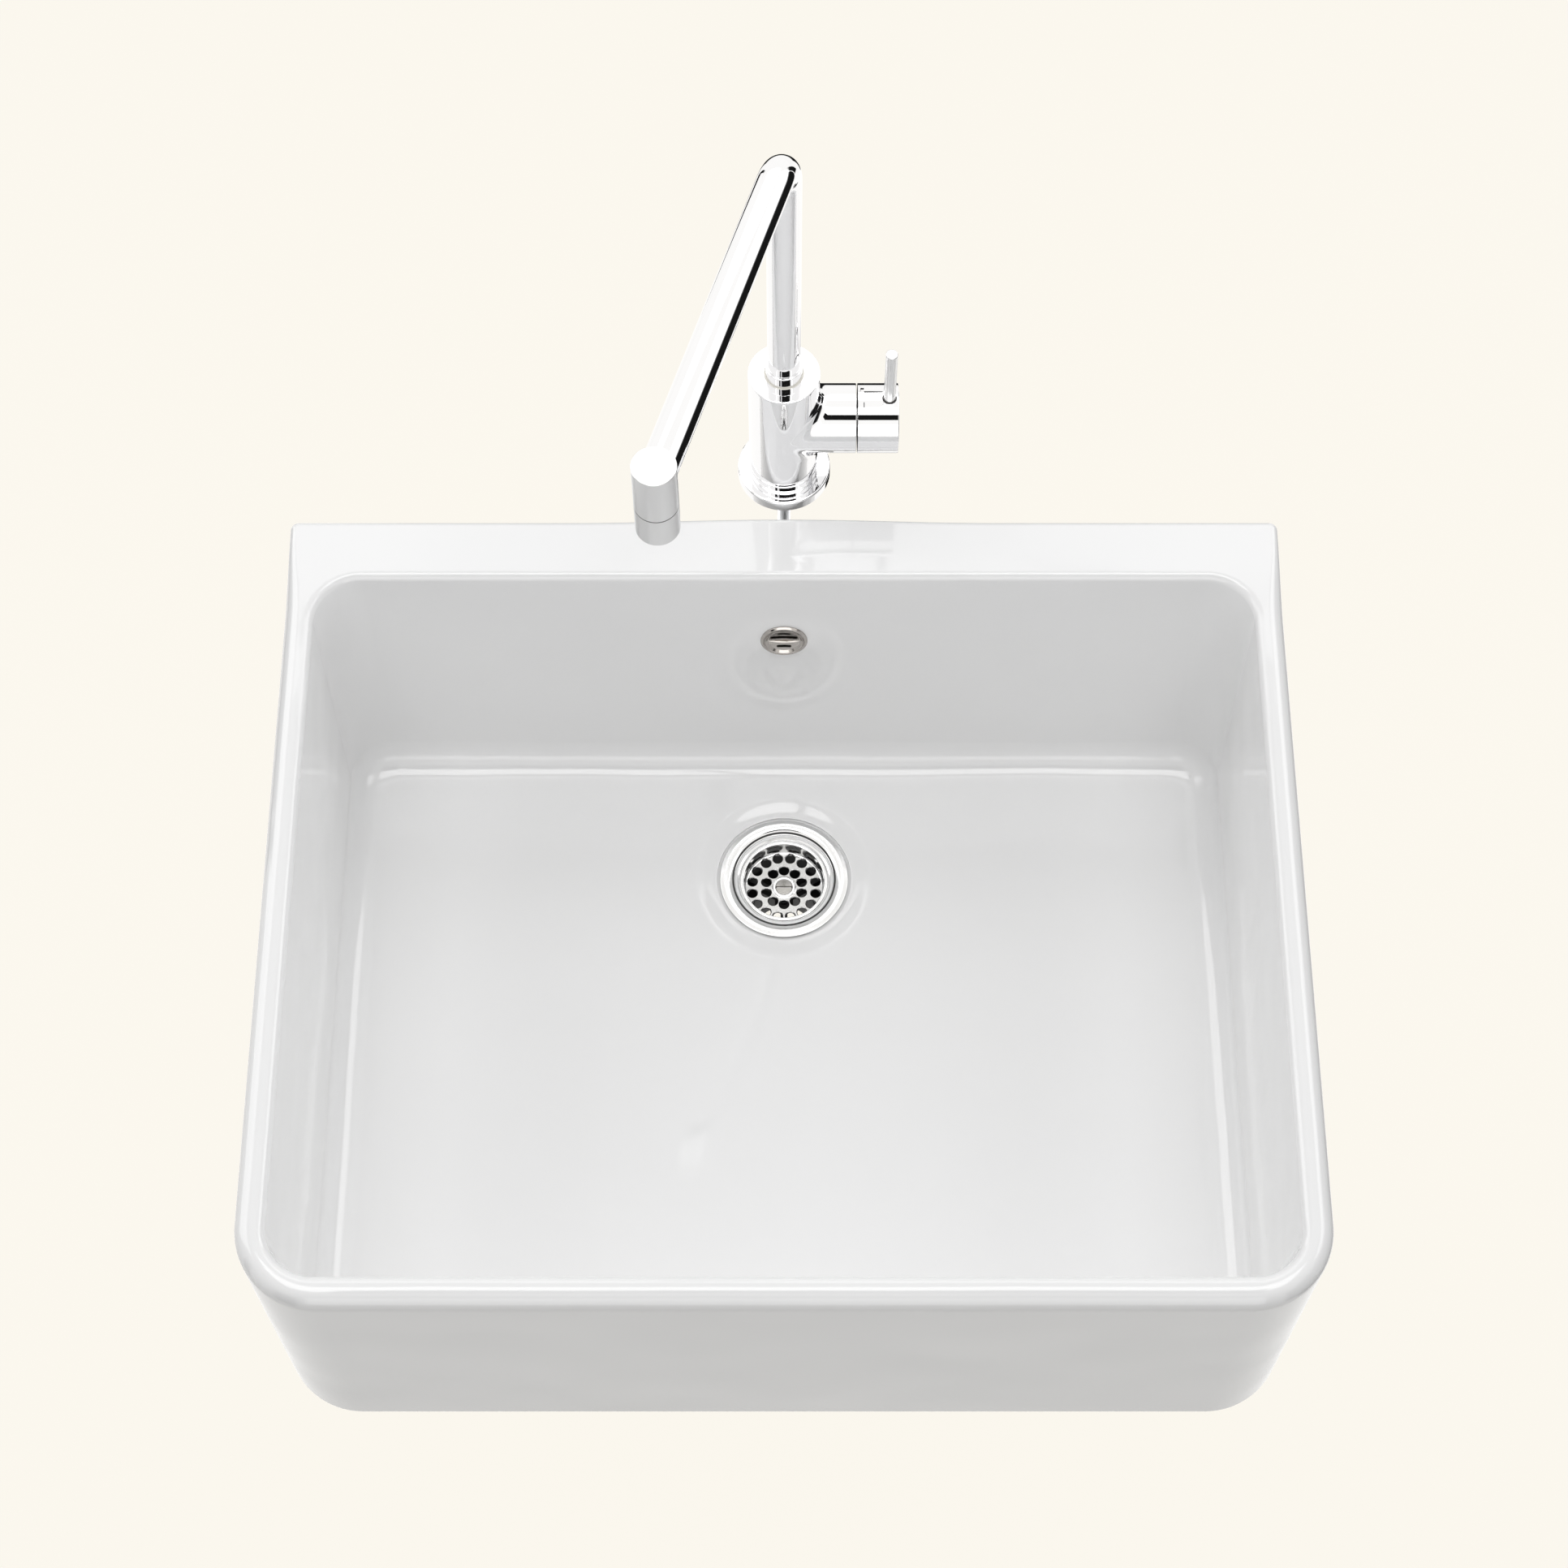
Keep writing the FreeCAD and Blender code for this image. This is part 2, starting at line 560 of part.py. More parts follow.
def strainer_screw():
    """Slotted countersunk screw that pulls the strainer and the waste body together."""
    tip = SPIDER_LOW + 1.0
    head_low = PLATE_TOP - SHEET + 0.1
    screw = turned([
        (0, tip), (SCREW_R - 0.6, tip), (SCREW_R, tip + 0.6), (SCREW_R, head_low),
        (SCREW_HEAD_R, HEAD_TOP - 0.5), (SCREW_HEAD_R - 0.6, HEAD_TOP), (0, HEAD_TOP)])
    slot = block(-SCREW_HEAD_R, SCREW_HEAD_R, -SCREW_SLOT / 2, SCREW_SLOT / 2,
                 HEAD_TOP - 1.2, HEAD_TOP + 1)
    return at_drain(screw.cut(slot))


def lower_gasket():
    return at_drain(tube(WASTE_R, DRAIN_HOLE_R + 1, WASTE_TOP, UNDER_RELIEF))


def waste_body():
    """Funnel under the sink, with a spider for the screw and a threaded outlet."""
    flange_low = WASTE_TOP - WASTE_FLANGE
    neck_z = WASTE_TOP - FUNNEL
    bore_r = OUTLET_R - OUTLET_WALL
    shell = turned([
        (SKIRT_R - 2, WASTE_SPIGOT), (SKIRT_R, WASTE_SPIGOT), (SKIRT_R, WASTE_TOP),
        (WASTE_R, WASTE_TOP), (WASTE_R, flange_low), (SKIRT_R + 3, flange_low),
        (SKIRT_R + 1, flange_low - 5), (OUTLET_R, neck_z), (OUTLET_R, 1 - OUTLET_DROP),
        (OUTLET_R - 1, -OUTLET_DROP), (bore_r, -OUTLET_DROP), (bore_r, neck_z),
        (SKIRT_R - 2, flange_low - 4)])
    boss = Part.makeCylinder(SPIDER_BOSS_R, 2 - SPIDER_LOW, V(0, 0, SPIDER_LOW))
    arm = block(0, SKIRT_R - 1, -SPIDER_ARM / 2, SPIDER_ARM / 2, flange_low - 3, WASTE_TOP)
    for spoke in ring_of(arm, 3, -90.0):
        boss = boss.fuse(spoke)
    shell = shell.fuse(boss)
    bore = Part.makeCylinder(SCREW_R + SNUG, SPIDER_DEPTH * 2, V(0, 0, SPIDER_LOW - 5))
    return at_drain(shell.cut(bore).removeSplitter())


# ---------------------------------------------------------------- tap carrier behind the sink
def tap_carrier():
    """Folded steel bracket: back plate, shelf and two gussets."""
    low, high = carrier_limits()
    half, shelf = CARRIER_WIDTH / 2, SHELF_WIDTH / 2
    front = BACK_Y + PLATE
    plate = block(-half, half, BACK_Y, front, low, high)
    plate = rounded(plate, PLATE_CORNER, lambda e: e.BoundBox.YLength > PLATE - 0.01
                    and e.BoundBox.XLength < 0.01 and e.BoundBox.ZLength < 0.01)
    ledge = block(-shelf, shelf, front, SHELF_TIP, SHELF_LOW, SHELF_Z)
    ledge = rounded(ledge, SHELF_CORNER, lambda e: e.BoundBox.YMin > SHELF_TIP - 0.01
                    and e.BoundBox.ZLength > PLATE - 0.01)
    bracket = plate.fuse(ledge)
    for side in (-1, 1):
        x = side * (shelf - PLATE / 2) - PLATE / 2
        corners = [V(x, front, low + GUSSET_FOOT), V(x, front, SHELF_LOW),
                   V(x, SHELF_TIP - GUSSET_TIP, SHELF_LOW)]
        web = Part.Face(Part.makePolygon(corners + corners[:1])).extrude(V(PLATE, 0, 0))
        bracket = bracket.fuse(web)
    for x, z in carrier_places():
        bracket = bracket.cut(rod(V(x, BACK_Y - 1, z), V(x, front + 1, z), SCREW_R + BOLT_PLAY))
    return bracket.cut(clamp_holes(SHELF_LOW - 1, SHELF_Z + 1)).removeSplitter()


def clamp_holes(low, high):
    """Two stud holes and two hose holes through the shelf and the clamp plates."""
    stud = rod(V(0, STUD_OFFSET, low), V(0, STUD_OFFSET, high), STUD_R + BOLT_PLAY)
    hose_x = INLET_OFFSET + 2
    hose = rod(V(hose_x, 0, low), V(hose_x, 0, high), HOSE_HOLE_R)
    return at_tap(Part.makeCompound(ring_of(stud, 2) + ring_of(hose, 2)))


def carrier_inserts():
    """Brass inserts bonded into the back of the ceramic."""
    inserts = []
    for x, z in carrier_places():
        sleeve = rod(V(x, BACK_Y, z), V(x, BACK_Y - INSERT_LENGTH, z), INSERT_R)
        bore = rod(V(x, BACK_Y + 1, z), V(x, BACK_Y - INSERT_LENGTH + 1.5, z), SCREW_R + SNUG)
        inserts.append(sleeve.cut(bore))
    return Part.makeCompound(inserts)


def carrier_screws():
    """Hexagon screws with washer faces, one in each insert."""
    screws = []
    for x, z in carrier_places():
        seat = PLATE + WASHER
        screw = Part.makeCylinder(SCREW_R, INSERT_LENGTH - 2 + PLATE, V(0, 0, -INSERT_LENGTH + 2))
        screw = screw.fuse(Part.makeCylinder(WASHER_R, WASHER, V(0, 0, PLATE)))
        screw = screw.fuse(hexagon(BOLT_FLATS, seat, seat + BOLT_HEAD)).removeSplitter()
        screw.rotate(V(0, 0, 0), V(1, 0, 0), -90)
        screws.append(moved(screw, x, BACK_Y, z))
    return Part.makeCompound(screws)


def clamp_rubber():
    low = SHELF_LOW - CLAMP_RUBBER
    pad = at_tap(Part.makeCylinder(CLAMP_R, CLAMP_RUBBER, V(0, 0, low)))
    return pad.cut(clamp_holes(low - 1, SHELF_LOW + 1))


def clamp_plate():
    plate = at_tap(Part.makeCylinder(CLAMP_R, CLAMP_PLATE, V(0, 0, CLAMP_LOW)))
    return plate.cut(clamp_holes(CLAMP_LOW - 1, SHELF_LOW + 1))


def clamp_nuts():
    """A nut under the clamp plate and a lock nut on the shelf, on each stud."""
    nuts = []
    for z in (CLAMP_LOW - NUT_HEIGHT, SHELF_Z):
        nut = hexagon(NUT_FLATS, z, z + NUT_HEIGHT)
        nut = nut.cut(Part.makeCylinder(STUD_R + SNUG, NUT_HEIGHT, V(0, 0, z)))
        nuts += ring_of(moved(nut, y=STUD_OFFSET), 2)
    return at_tap(Part.makeCompound(nuts))


def tap_studs():
    low = CLAMP_LOW - NUT_HEIGHT - STUD_TAIL
    stud = rod(V(0, STUD_OFFSET, low), V(0, STUD_OFFSET, RIM + STUD_DEPTH), STUD_R)
    return at_tap(Part.makeCompound(ring_of(stud, 2)))


# ---------------------------------------------------------------- tap body
def base_gasket():
    return at_tap(tube(BASE_R - 1.5, SHANK_R + 1, RIM, BASE_Z))


def base_flange():
    """Round foot plate with the plinth ring that the body stands on."""
    top = BASE_Z + BASE_HEIGHT
    plinth_r = BODY_R - 0.4
    bore_r = SHANK_R + SNUG
    foot = turned([
        (bore_r, BASE_Z), (BASE_R, BASE_Z), (BASE_R, top), (plinth_r, top),
        (plinth_r, BODY_BASE_Z), (bore_r, BODY_BASE_Z)])
    foot = rounded(foot, 1.6, circle_at(top, BASE_R))
    return at_tap(rounded(foot, 0.5, circle_at(BODY_BASE_Z, plinth_r)))


def tap_waterways():
    """Inlet sockets, stud holes and the drillings to and from the cartridge."""
    low = RIM - SHANK_DROP
    cross_z = RIM + INLET_DEPTH
    feed_z = VALVE_Z - FEED_BELOW
    out_z = VALVE_Z + PORT_OUT
    ways = []
    for side in (-1, 1):
        socket_x, feed_y = side * INLET_OFFSET, side * PORT_OUT
        foot, elbow = V(FEED_OUT, feed_y, cross_z), V(FEED_OUT, feed_y, feed_z)
        ways += [
            rod(V(socket_x, 0, low - 1), V(socket_x, 0, cross_z), INLET_R),
            rod(V(socket_x, 0, cross_z), foot, WATERWAY_R),
            rod(foot, elbow, WATERWAY_R),
            rod(elbow, V(SEAT_X + 1, feed_y, feed_z), WATERWAY_R),
            rod(V(0, side * STUD_OFFSET, low - 1),
                V(0, side * STUD_OFFSET, RIM + STUD_DEPTH + 1), STUD_R + SNUG)]
    ways.append(rod(V(0, 0, out_z), V(0, 0, SPOUT_BORE_Z + 1), WATERWAY_R + 1))
    ways.append(rod(V(-1, 0, out_z), V(SEAT_X + 1, 0, out_z), WATERWAY_R))
    return at_tap(Part.makeCompound(ways))


def tap_body():
    """Cast body: upright barrel, side neck for the cartridge, and the spout's socket."""
    barrel = turned([
        (0, RIM - SHANK_DROP), (SHANK_R, RIM - SHANK_DROP), (SHANK_R, BODY_BASE_Z + SEAM),
        (BODY_R - 0.8, BODY_BASE_Z + SEAM), (BODY_R, BODY_BASE_Z + SEAM + 0.8),
        (BODY_R, BODY_TOP_Z - 0.5), (BODY_R - 0.5, BODY_TOP_Z), (0, BODY_TOP_Z)])
    body = at_tap(barrel).fuse(along_x(Part.makeCylinder(NECK_R, NECK_END)))
    pocket_r, nut_r = CARTRIDGE_R + SNUG, NUT_R + SNUG
    pocket = along_x(turned([
        (0, SEAT_X), (pocket_r, SEAT_X), (pocket_r, SHOULDER_X), (nut_r, SHOULDER_X),
        (nut_r, NECK_END + 1), (0, NECK_END + 1)]))
    bore_r = PIPE_R + RUNNING
    socket = at_tap(turned([
        (0, SPOUT_BORE_Z), (bore_r, SPOUT_BORE_Z), (bore_r, BUSH_Z), (BUSH_R, BUSH_Z),
        (BUSH_R, BODY_TOP_Z + 1), (0, BODY_TOP_Z + 1)]))
    body = body.cut(pocket).cut(socket).cut(tap_waterways())
    lock = rod(V(0, TAP_Y + PIPE_R - 1, LOCK_Z), V(0, TAP_Y + BODY_R + 1, LOCK_Z), LOCK_R + SNUG)
    return body.cut(lock).removeSplitter()


def spout_bush():
    return at_tap(tube(BUSH_R, PIPE_R + RUNNING, BUSH_Z, BODY_TOP_Z))


def lock_screw():
    """Grub screw in the back of the body whose tip rides in the spout foot's groove."""
    tip_y, bore_y, back_y = PIPE_R - 1.0, PIPE_R + 0.6, BODY_R - 1.2
    tip = rod(V(0, tip_y, LOCK_Z), V(0, bore_y + 0.4, LOCK_Z), LOCK_R * 0.6)
    shank = rod(V(0, bore_y, LOCK_Z), V(0, back_y, LOCK_Z), LOCK_R)
    socket = rod(V(0, back_y - 2, LOCK_Z), V(0, BODY_R, LOCK_Z), LOCK_R * 0.5)
    return at_tap(tip.fuse(shank).cut(socket))


# ---------------------------------------------------------------- spout
def spout_path(from_z, to_reach):
    """Centre line of the spout: up, round the bend, and out along the arm."""
    start = V(0, 0, from_z)
    bend_low = V(0, 0, ARM_Z - BEND_R)
    middle = V(0, -BEND_R * (1 - math.sqrt(0.5)), ARM_Z - BEND_R * (1 - math.sqrt(0.5)))
    bend_end = V(0, -BEND_R, ARM_Z)
    return Part.Wire([
        Part.LineSegment(start, bend_low).toShape(),
        Part.Arc(bend_low, middle, bend_end).toShape(),
        Part.LineSegment(bend_end, V(0, -to_reach, ARM_Z)).toShape()])


def swung(shape):
    """Turn a spout piece from straight ahead to where it rests, on the tap's axis."""
    copy = shape.copy()
    copy.rotate(V(0, 0, 0), V(0, 0, 1), -SWING)
    return at_tap(copy)


def pipe_solid(radius, from_z, to_reach):
    """A round bar along the spout's centre line."""
    circle = Part.Wire(Part.makeCircle(radius, V(0, 0, from_z)))
    return spout_path(from_z, to_reach).makePipeShell([circle], True, False)


def spout_pipe():
    """Bent chromed tube, brazed into the nozzle."""
    outer = pipe_solid(PIPE_R, PIPE_LOW, SOCKET_REACH)
    bore_r = PIPE_R - PIPE_WALL
    return swung(outer.cut(pipe_solid(bore_r, PIPE_LOW, SOCKET_REACH)))


def spout_foot():
    """Brass foot of the spout, grooved for two O-rings and the lock screw."""
    groove_r = PIPE_R - 2 * O_RING
    bore = PIPE_R - 2 * O_RING - 2.0
    ring_width = 2 * O_RING + 0.2
    outline = [(bore, FOOT_Z), (PIPE_R - 0.5, FOOT_Z), (PIPE_R, FOOT_Z + 0.5)]
    grooves = [(z - ring_width / 2, ring_width) for z in O_RING_Z] + [(GROOVE_Z, 3.0)]
    for z, width in grooves:
        outline += [(PIPE_R, z), (groove_r, z), (groove_r, z + width), (PIPE_R, z + width)]
    spigot_r = PIPE_R - PIPE_WALL - SNUG
    outline += [(PIPE_R, PIPE_LOW), (spigot_r, PIPE_LOW),
                (spigot_r, PIPE_LOW + PIPE_LAP), (bore, PIPE_LOW + PIPE_LAP)]
    return at_tap(turned(outline))


def spout_o_rings():
    rings = [Part.makeTorus(PIPE_R - O_RING, O_RING, V(0, 0, z)) for z in O_RING_Z]
    return at_tap(Part.makeCompound(rings))


def spout_collar():
    """Trim ring round the foot of the pipe."""
    top = PIPE_LOW + COLLAR_HEIGHT
    collar_r = PIPE_R + COLLAR_WALL
    ring = tube(collar_r, PIPE_R + SNUG, PIPE_LOW, top)
    return at_tap(rounded(ring, 0.4, circle_at(top, collar_r)))


def at_nozzle(shape):
    """Move a shape made about Z onto the nozzle's axis."""
    return swung(moved(shape, y=-REACH))


def nozzle():
    """Upright end piece that turns the water down."""
    body = Part.makeCylinder(NOZZLE_R, NOZZLE_HEIGHT, V(0, 0, NOZZLE_LOW_Z))
    body = rounded(body, 0.4, circle_at(NOZZLE_TOP_Z, NOZZLE_R))
    thread = Part.makeCylinder(SPIGOT_R, SPIGOT + 2, V(0, 0, NOZZLE_LOW_Z - 1))
    drop = Part.makeCylinder(6.0, ARM_Z - NOZZLE_LOW_Z, V(0, 0, NOZZLE_LOW_Z))
    socket = rod(V(0, ARM_INSET, ARM_Z), V(0, NOZZLE_R + 2, ARM_Z), PIPE_R + SNUG)
    inner = rod(V(0, 0, ARM_Z), V(0, ARM_INSET + 1, ARM_Z), 6.0)
    return at_nozzle(body.cut(thread).cut(drop).cut(socket).cut(inner))


def aerator_housing():
    """Screw-in sleeve with a lip that holds the aerator insert."""
    seam_z = NOZZLE_LOW_Z - SEAM
    top, lip = seam_z + SPIGOT, AERATOR_LOW_Z + AERATOR_WALL
    bore, thread_r = AERATOR_BORE_R, SPIGOT_R - SNUG
    return at_nozzle(turned([
        (bore - 1.2, AERATOR_LOW_Z), (NOZZLE_R - 0.4, AERATOR_LOW_Z),
        (NOZZLE_R, AERATOR_LOW_Z + 0.4), (NOZZLE_R, seam_z - 0.2), (NOZZLE_R - 0.2, seam_z),
        (thread_r, seam_z), (thread_r, top), (bore, top), (bore, lip), (bore - 1.2, lip)]))


def aerator_insert():
    """Plastic honeycomb that breaks up the jet."""
    low = AERATOR_LOW_Z + AERATOR_WALL
    radius = AERATOR_BORE_R - SNUG
    disc = Part.makeCylinder(radius, AERATOR_DEPTH, V(0, 0, low))
    cell = hexagon(AERATOR_CELL, low - 1, low + AERATOR_DEPTH + 1)
    outer = radius - AERATOR_CELL * 0.72
    cells = [cell] + ring_of(moved(cell, outer / 2), 6) + ring_of(moved(cell, outer), 12, 15.0)
    return at_nozzle(disc.cut(Part.makeCompound(cells)))


def aerator_washer():
    low = AERATOR_LOW_Z + AERATOR_WALL + AERATOR_DEPTH
    radius = AERATOR_BORE_R - SNUG
    return at_nozzle(tube(radius, radius - 1.8, low, low + 2.0))


# ---------------------------------------------------------------- mixing valve
def cartridge_housing():
    """Plastic cartridge shell with a bearing bore for the turning carrier."""
    bearing, disc_room = CARRIER_R + RUNNING, CARTRIDGE_R - 2.4
    collar_r, collar_x = NUT_BORE_R - 0.1, CARRIER_HIGH + 1.5
    shell = turned([
        (disc_room, DISC_X - 0.1), (CARTRIDGE_R, DISC_X - 0.1), (CARTRIDGE_R, SHOULDER_X),
        (collar_r, SHOULDER_X), (collar_r, collar_x), (bearing, collar_x),
        (bearing, CARRIER_LOW - 0.5), (CARRIER_R - 2, CARRIER_LOW - 0.5),
        (CARRIER_R - 2, COVER_X), (disc_room, COVER_X)])
    return along_x(shell)


def valve_ports(low, high):
    """One outlet port above and two inlet ports, cold and hot."""
    ports = [rod(V(-PORT_OUT, 0, low), V(-PORT_OUT, 0, high), WATERWAY_R)]
    ports += [rod(V(4, side * PORT_OUT, low), V(4, side * PORT_OUT, high), INLET_PORT_R)
              for side in (-1, 1)]
    return Part.makeCompound(ports)


def cartridge_base():
    plate = Part.makeCylinder(CARTRIDGE_R, BASE_PLATE, V(0, 0, SEAT_X + 0.1))
    return along_x(plate.cut(valve_ports(SEAT_X - 1, DISC_X + 1)))


def ceramic_discs():
    """Fixed disc with ports, and the moving disc that slides on it."""
    fixed = Part.makeCylinder(CARTRIDGE_R - 2.6, DISC, V(0, 0, DISC_X))
    fixed = fixed.cut(valve_ports(DISC_X - 1, MOVING_DISC_X))
    moving = Part.makeCylinder(CARTRIDGE_R - 4.9, DISC, V(0, 0, MOVING_DISC_X))
    moving = moving.cut(Part.makeCylinder(PORT_OUT + 1, DISC / 3, V(0, 0, MOVING_DISC_X)))
    return along_x(Part.makeCompound([fixed, moving]))


def cartridge_nut():
    """Brass ring nut that holds the cartridge in the neck."""
    ring = tube(NUT_R, NUT_BORE_R, SHOULDER_X + 0.1, NECK_END - 0.9)
    notch = block(NUT_BORE_R - 1, NUT_R + 1, -2, 2, NECK_END - 3, NECK_END)
    return along_x(ring.cut(Part.makeCompound(ring_of(notch, 4, 45.0))))


def cartridge_carrier():
    """Turning fork that the stem tilts in."""
    fork = Part.makeCylinder(CARRIER_R, CARRIER_HIGH - CARRIER_LOW, V(0, 0, CARRIER_LOW))
    wide, slot = CARRIER_R - 1.1, STEM / 2 + 0.15
    window = block(-wide, wide, -slot, slot, CARRIER_LOW - 1, CARRIER_HIGH + 1)
    pin_hole = rod(V(0, -CARRIER_R - 1, PIVOT_X), V(0, CARRIER_R + 1, PIVOT_X), PIN_R)
    return along_x(fork.cut(window).cut(pin_hole))


def stem_pin():
    half = CARRIER_R - 1.2
    return along_x(rod(V(0, -half, PIVOT_X), V(0, half, PIVOT_X), PIN_R))


def cartridge_stem():
    """Square stem from the cartridge to the handle."""
    half = STEM / 2
    bar = block(-half, half, -half, half, PIVOT_X - 5.5, STEM_END)
    tail = Part.makeCylinder(2.5, 4.0, V(0, 0, PIVOT_X - 9.0))
    hole = rod(V(0, -STEM, PIVOT_X), V(0, STEM, PIVOT_X), PIN_R + RUNNING)
    return along_x(bar.fuse(tail).cut(hole).removeSplitter())


# ---------------------------------------------------------------- handle
def handle_cap():
    """Round handle whose hollow is a ball about the pivot, so that it tilts past the neck."""
    cap = Part.makeCylinder(NECK_R, HANDLE_LENGTH, V(0, 0, HANDLE_X))
    cap = rounded(cap, 0.6, circle_at(HANDLE_END, NECK_R))
    clear = math.hypot(HANDLE_X - PIVOT_X, NECK_R)
    cap = cap.cut(Part.makeSphere(clear, V(0, 0, PIVOT_X)))
    half = STEM / 2 + SNUG
    cap = cap.cut(block(-half, half, -half, half, PIVOT_X, STEM_END + 0.3))
    top = -NECK_R - 1
    foot = rod(V(top, 0, LEVER_X), V(LEVER_FOOT - NECK_R, 0, LEVER_X), LEVER_FOOT_R + SNUG)
    seat = rod(V(top, 0, LEVER_X), V(1 - NECK_R, 0, LEVER_X), LEVER_R + COLLAR_LIP)
    grub = rod(V(NECK_R + 1, 0, GRUB_X), V(0, 0, GRUB_X), GRUB_R + SNUG)
    return along_x(cap.cut(foot).cut(seat).cut(grub))


def handle_screw():
    """Grub screw under the handle that clamps it on the stem."""
    screw = rod(V(STEM / 2 + SNUG, 0, GRUB_X), V(NECK_R - 4, 0, GRUB_X), GRUB_R)
    return along_x(screw.cut(rod(V(NECK_R - 6.5, 0, GRUB_X), V(NECK_R, 0, GRUB_X), GRUB_R / 2)))


def lever_collar():
    """Small washer ring at the foot of the lever."""
    high, low = V(-NECK_R - 0.6, 0, LEVER_X), V(1 - NECK_R, 0, LEVER_X)
    ring = rod(high, low, LEVER_R + COLLAR_LIP - SNUG)
    return along_x(ring.cut(rod(high, low, LEVER_R + SNUG)))


def lever_rod():
    """Thin round lever with a threaded foot and a rounded tip."""
    foot = 0.2 - LEVER_FOOT
    outline = [
        (0, foot), (LEVER_FOOT_R, foot), (LEVER_FOOT_R, -1.0), (LEVER_R, -1.0),
        (LEVER_R, LEVER_LENGTH - 0.6), (LEVER_R - 0.6, LEVER_LENGTH), (0, LEVER_LENGTH)]
    return moved(turned(outline), LEVER_X, TAP_Y, VALVE_Z + NECK_R)


PIECES = [
    sink_bowl, overflow_grille, overflow_sleeve,
    flange_gasket, waste_flange, strainer_cup, strainer_screw, lower_gasket, waste_body,
    tap_carrier, carrier_inserts, carrier_screws, clamp_rubber, clamp_plate, clamp_nuts,
    tap_studs, base_gasket, base_flange, tap_body, spout_bush, lock_screw,
    spout_foot, spout_o_rings, spout_collar, spout_pipe,
    nozzle, aerator_housing, aerator_insert, aerator_washer,
    cartridge_housing, cartridge_base, ceramic_discs, cartridge_nut,
    cartridge_carrier, stem_pin, cartridge_stem,
    handle_cap, handle_screw, lever_collar, lever_rod,
]

for piece in PIECES:
    shape = piece()
    if not shape.isValid():
        print("not valid:", piece.__name__)
    print("%-18s %8.2f cm3 %d solid(s)" % (piece.__name__, shape.Volume / 1000, len(shape.Solids)))
    save(piece.__name__, shape)
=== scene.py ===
"""A white apron front kitchen sink with its strainer waste, overflow and mixer tap.

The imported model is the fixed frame. Each sub-assembly is a class that builds its finer meshes
round that frame, and dresses both them and the frame's own parts. Lengths are millimetres in the
row frame until a piece is finished, and metres from then on.
"""

import logging
import math
from collections.abc import Callable, Iterable, Sequence
from dataclasses import dataclass, field
from enum import Enum
from functools import cached_property

import bmesh
import bpy
from mathutils import Matrix, Vector, noise


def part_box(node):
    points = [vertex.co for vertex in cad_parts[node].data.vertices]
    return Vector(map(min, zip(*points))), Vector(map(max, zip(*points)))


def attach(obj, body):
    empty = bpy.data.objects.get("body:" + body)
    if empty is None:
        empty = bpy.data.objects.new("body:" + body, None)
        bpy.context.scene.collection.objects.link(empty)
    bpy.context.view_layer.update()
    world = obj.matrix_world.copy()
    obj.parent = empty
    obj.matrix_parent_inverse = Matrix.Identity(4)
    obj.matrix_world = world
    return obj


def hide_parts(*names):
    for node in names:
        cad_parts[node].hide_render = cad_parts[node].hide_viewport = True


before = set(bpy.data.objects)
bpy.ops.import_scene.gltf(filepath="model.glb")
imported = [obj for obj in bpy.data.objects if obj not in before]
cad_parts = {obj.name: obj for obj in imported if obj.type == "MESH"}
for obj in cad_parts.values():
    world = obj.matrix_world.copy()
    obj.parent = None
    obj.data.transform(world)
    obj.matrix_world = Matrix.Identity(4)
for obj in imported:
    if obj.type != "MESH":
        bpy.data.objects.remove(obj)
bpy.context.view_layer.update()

MM = 0.001
LOG = logging.getLogger("sink")

Colour = tuple[float, float, float]


class Slot(Enum):
    """The record's material slots."""

    GLAZE = "white_glaze"
    CHROME = "tap_chrome"
    SATIN = "satin_chrome"
    OVERFLOW = "overflow_chrome"
    WASTE = "waste_steel"
    ZINC = "zinc_steel"
    CARRIER = "carrier_steel"
    BRASS = "brass"
    RUBBER = "black_rubber"
    POLYPROPYLENE = "waste_plastic"
    ACETAL = "bearing_plastic"
    CARTRIDGE = "cartridge_plastic"
    DISC = "disc_ceramic"
    STEM = "stem_steel"


class Patch(Enum):
    """Finishes of some faces of a piece, which have no slot of their own. Three of them paint
    shade: near-black seams and hollows (with the handle's dark-painted index marks), the
    near-black inside of the waste, and a darker strainer plate.
    """

    UNPLATED = "unplated_casting"
    SATIN_PLATE = "satin_plate"
    TURNED = "turned_screw"
    STAINED = "stained_plastic"


# ------------------------------------------------------------------ shader maths
class Wire:
    """A shader socket that takes part in Python arithmetic."""

    def __init__(self, paint: "Paint", socket: bpy.types.NodeSocket) -> None:
        """Keeps the socket and the node tree that it belongs to."""
        self.paint = paint
        self.socket = socket

    def __add__(self, other: "Wire | float") -> "Wire":
        """Sum."""
        return self.paint.math("ADD", self, other)

    def __sub__(self, other: "Wire | float") -> "Wire":
        """Difference."""
        return self.paint.math("SUBTRACT", self, other)

    def __rsub__(self, other: "Wire | float") -> "Wire":
        """Difference, reflected, so that 1 - mask works."""
        return self.paint.math("SUBTRACT", other, self)

    def __mul__(self, other: "Wire | float") -> "Wire":
        """Product."""
        return self.paint.math("MULTIPLY", self, other)

    __radd__ = __add__
    __rmul__ = __mul__

    def step(self, start: float, end: float) -> "Wire":
        """Goes smoothly from 0 at start to 1 at end.

        Args:
            start: The value that gives 0.
            end: The value that gives 1. It may be the smaller of the two.

        Returns:
            The smooth step as a wire.
        """
        node = self.paint.node(
            "ShaderNodeMapRange", {"interpolation_type": "SMOOTHSTEP"},
            {"Value": self, "From Min": start, "From Max": end})
        return Wire(self.paint, node.outputs[0])


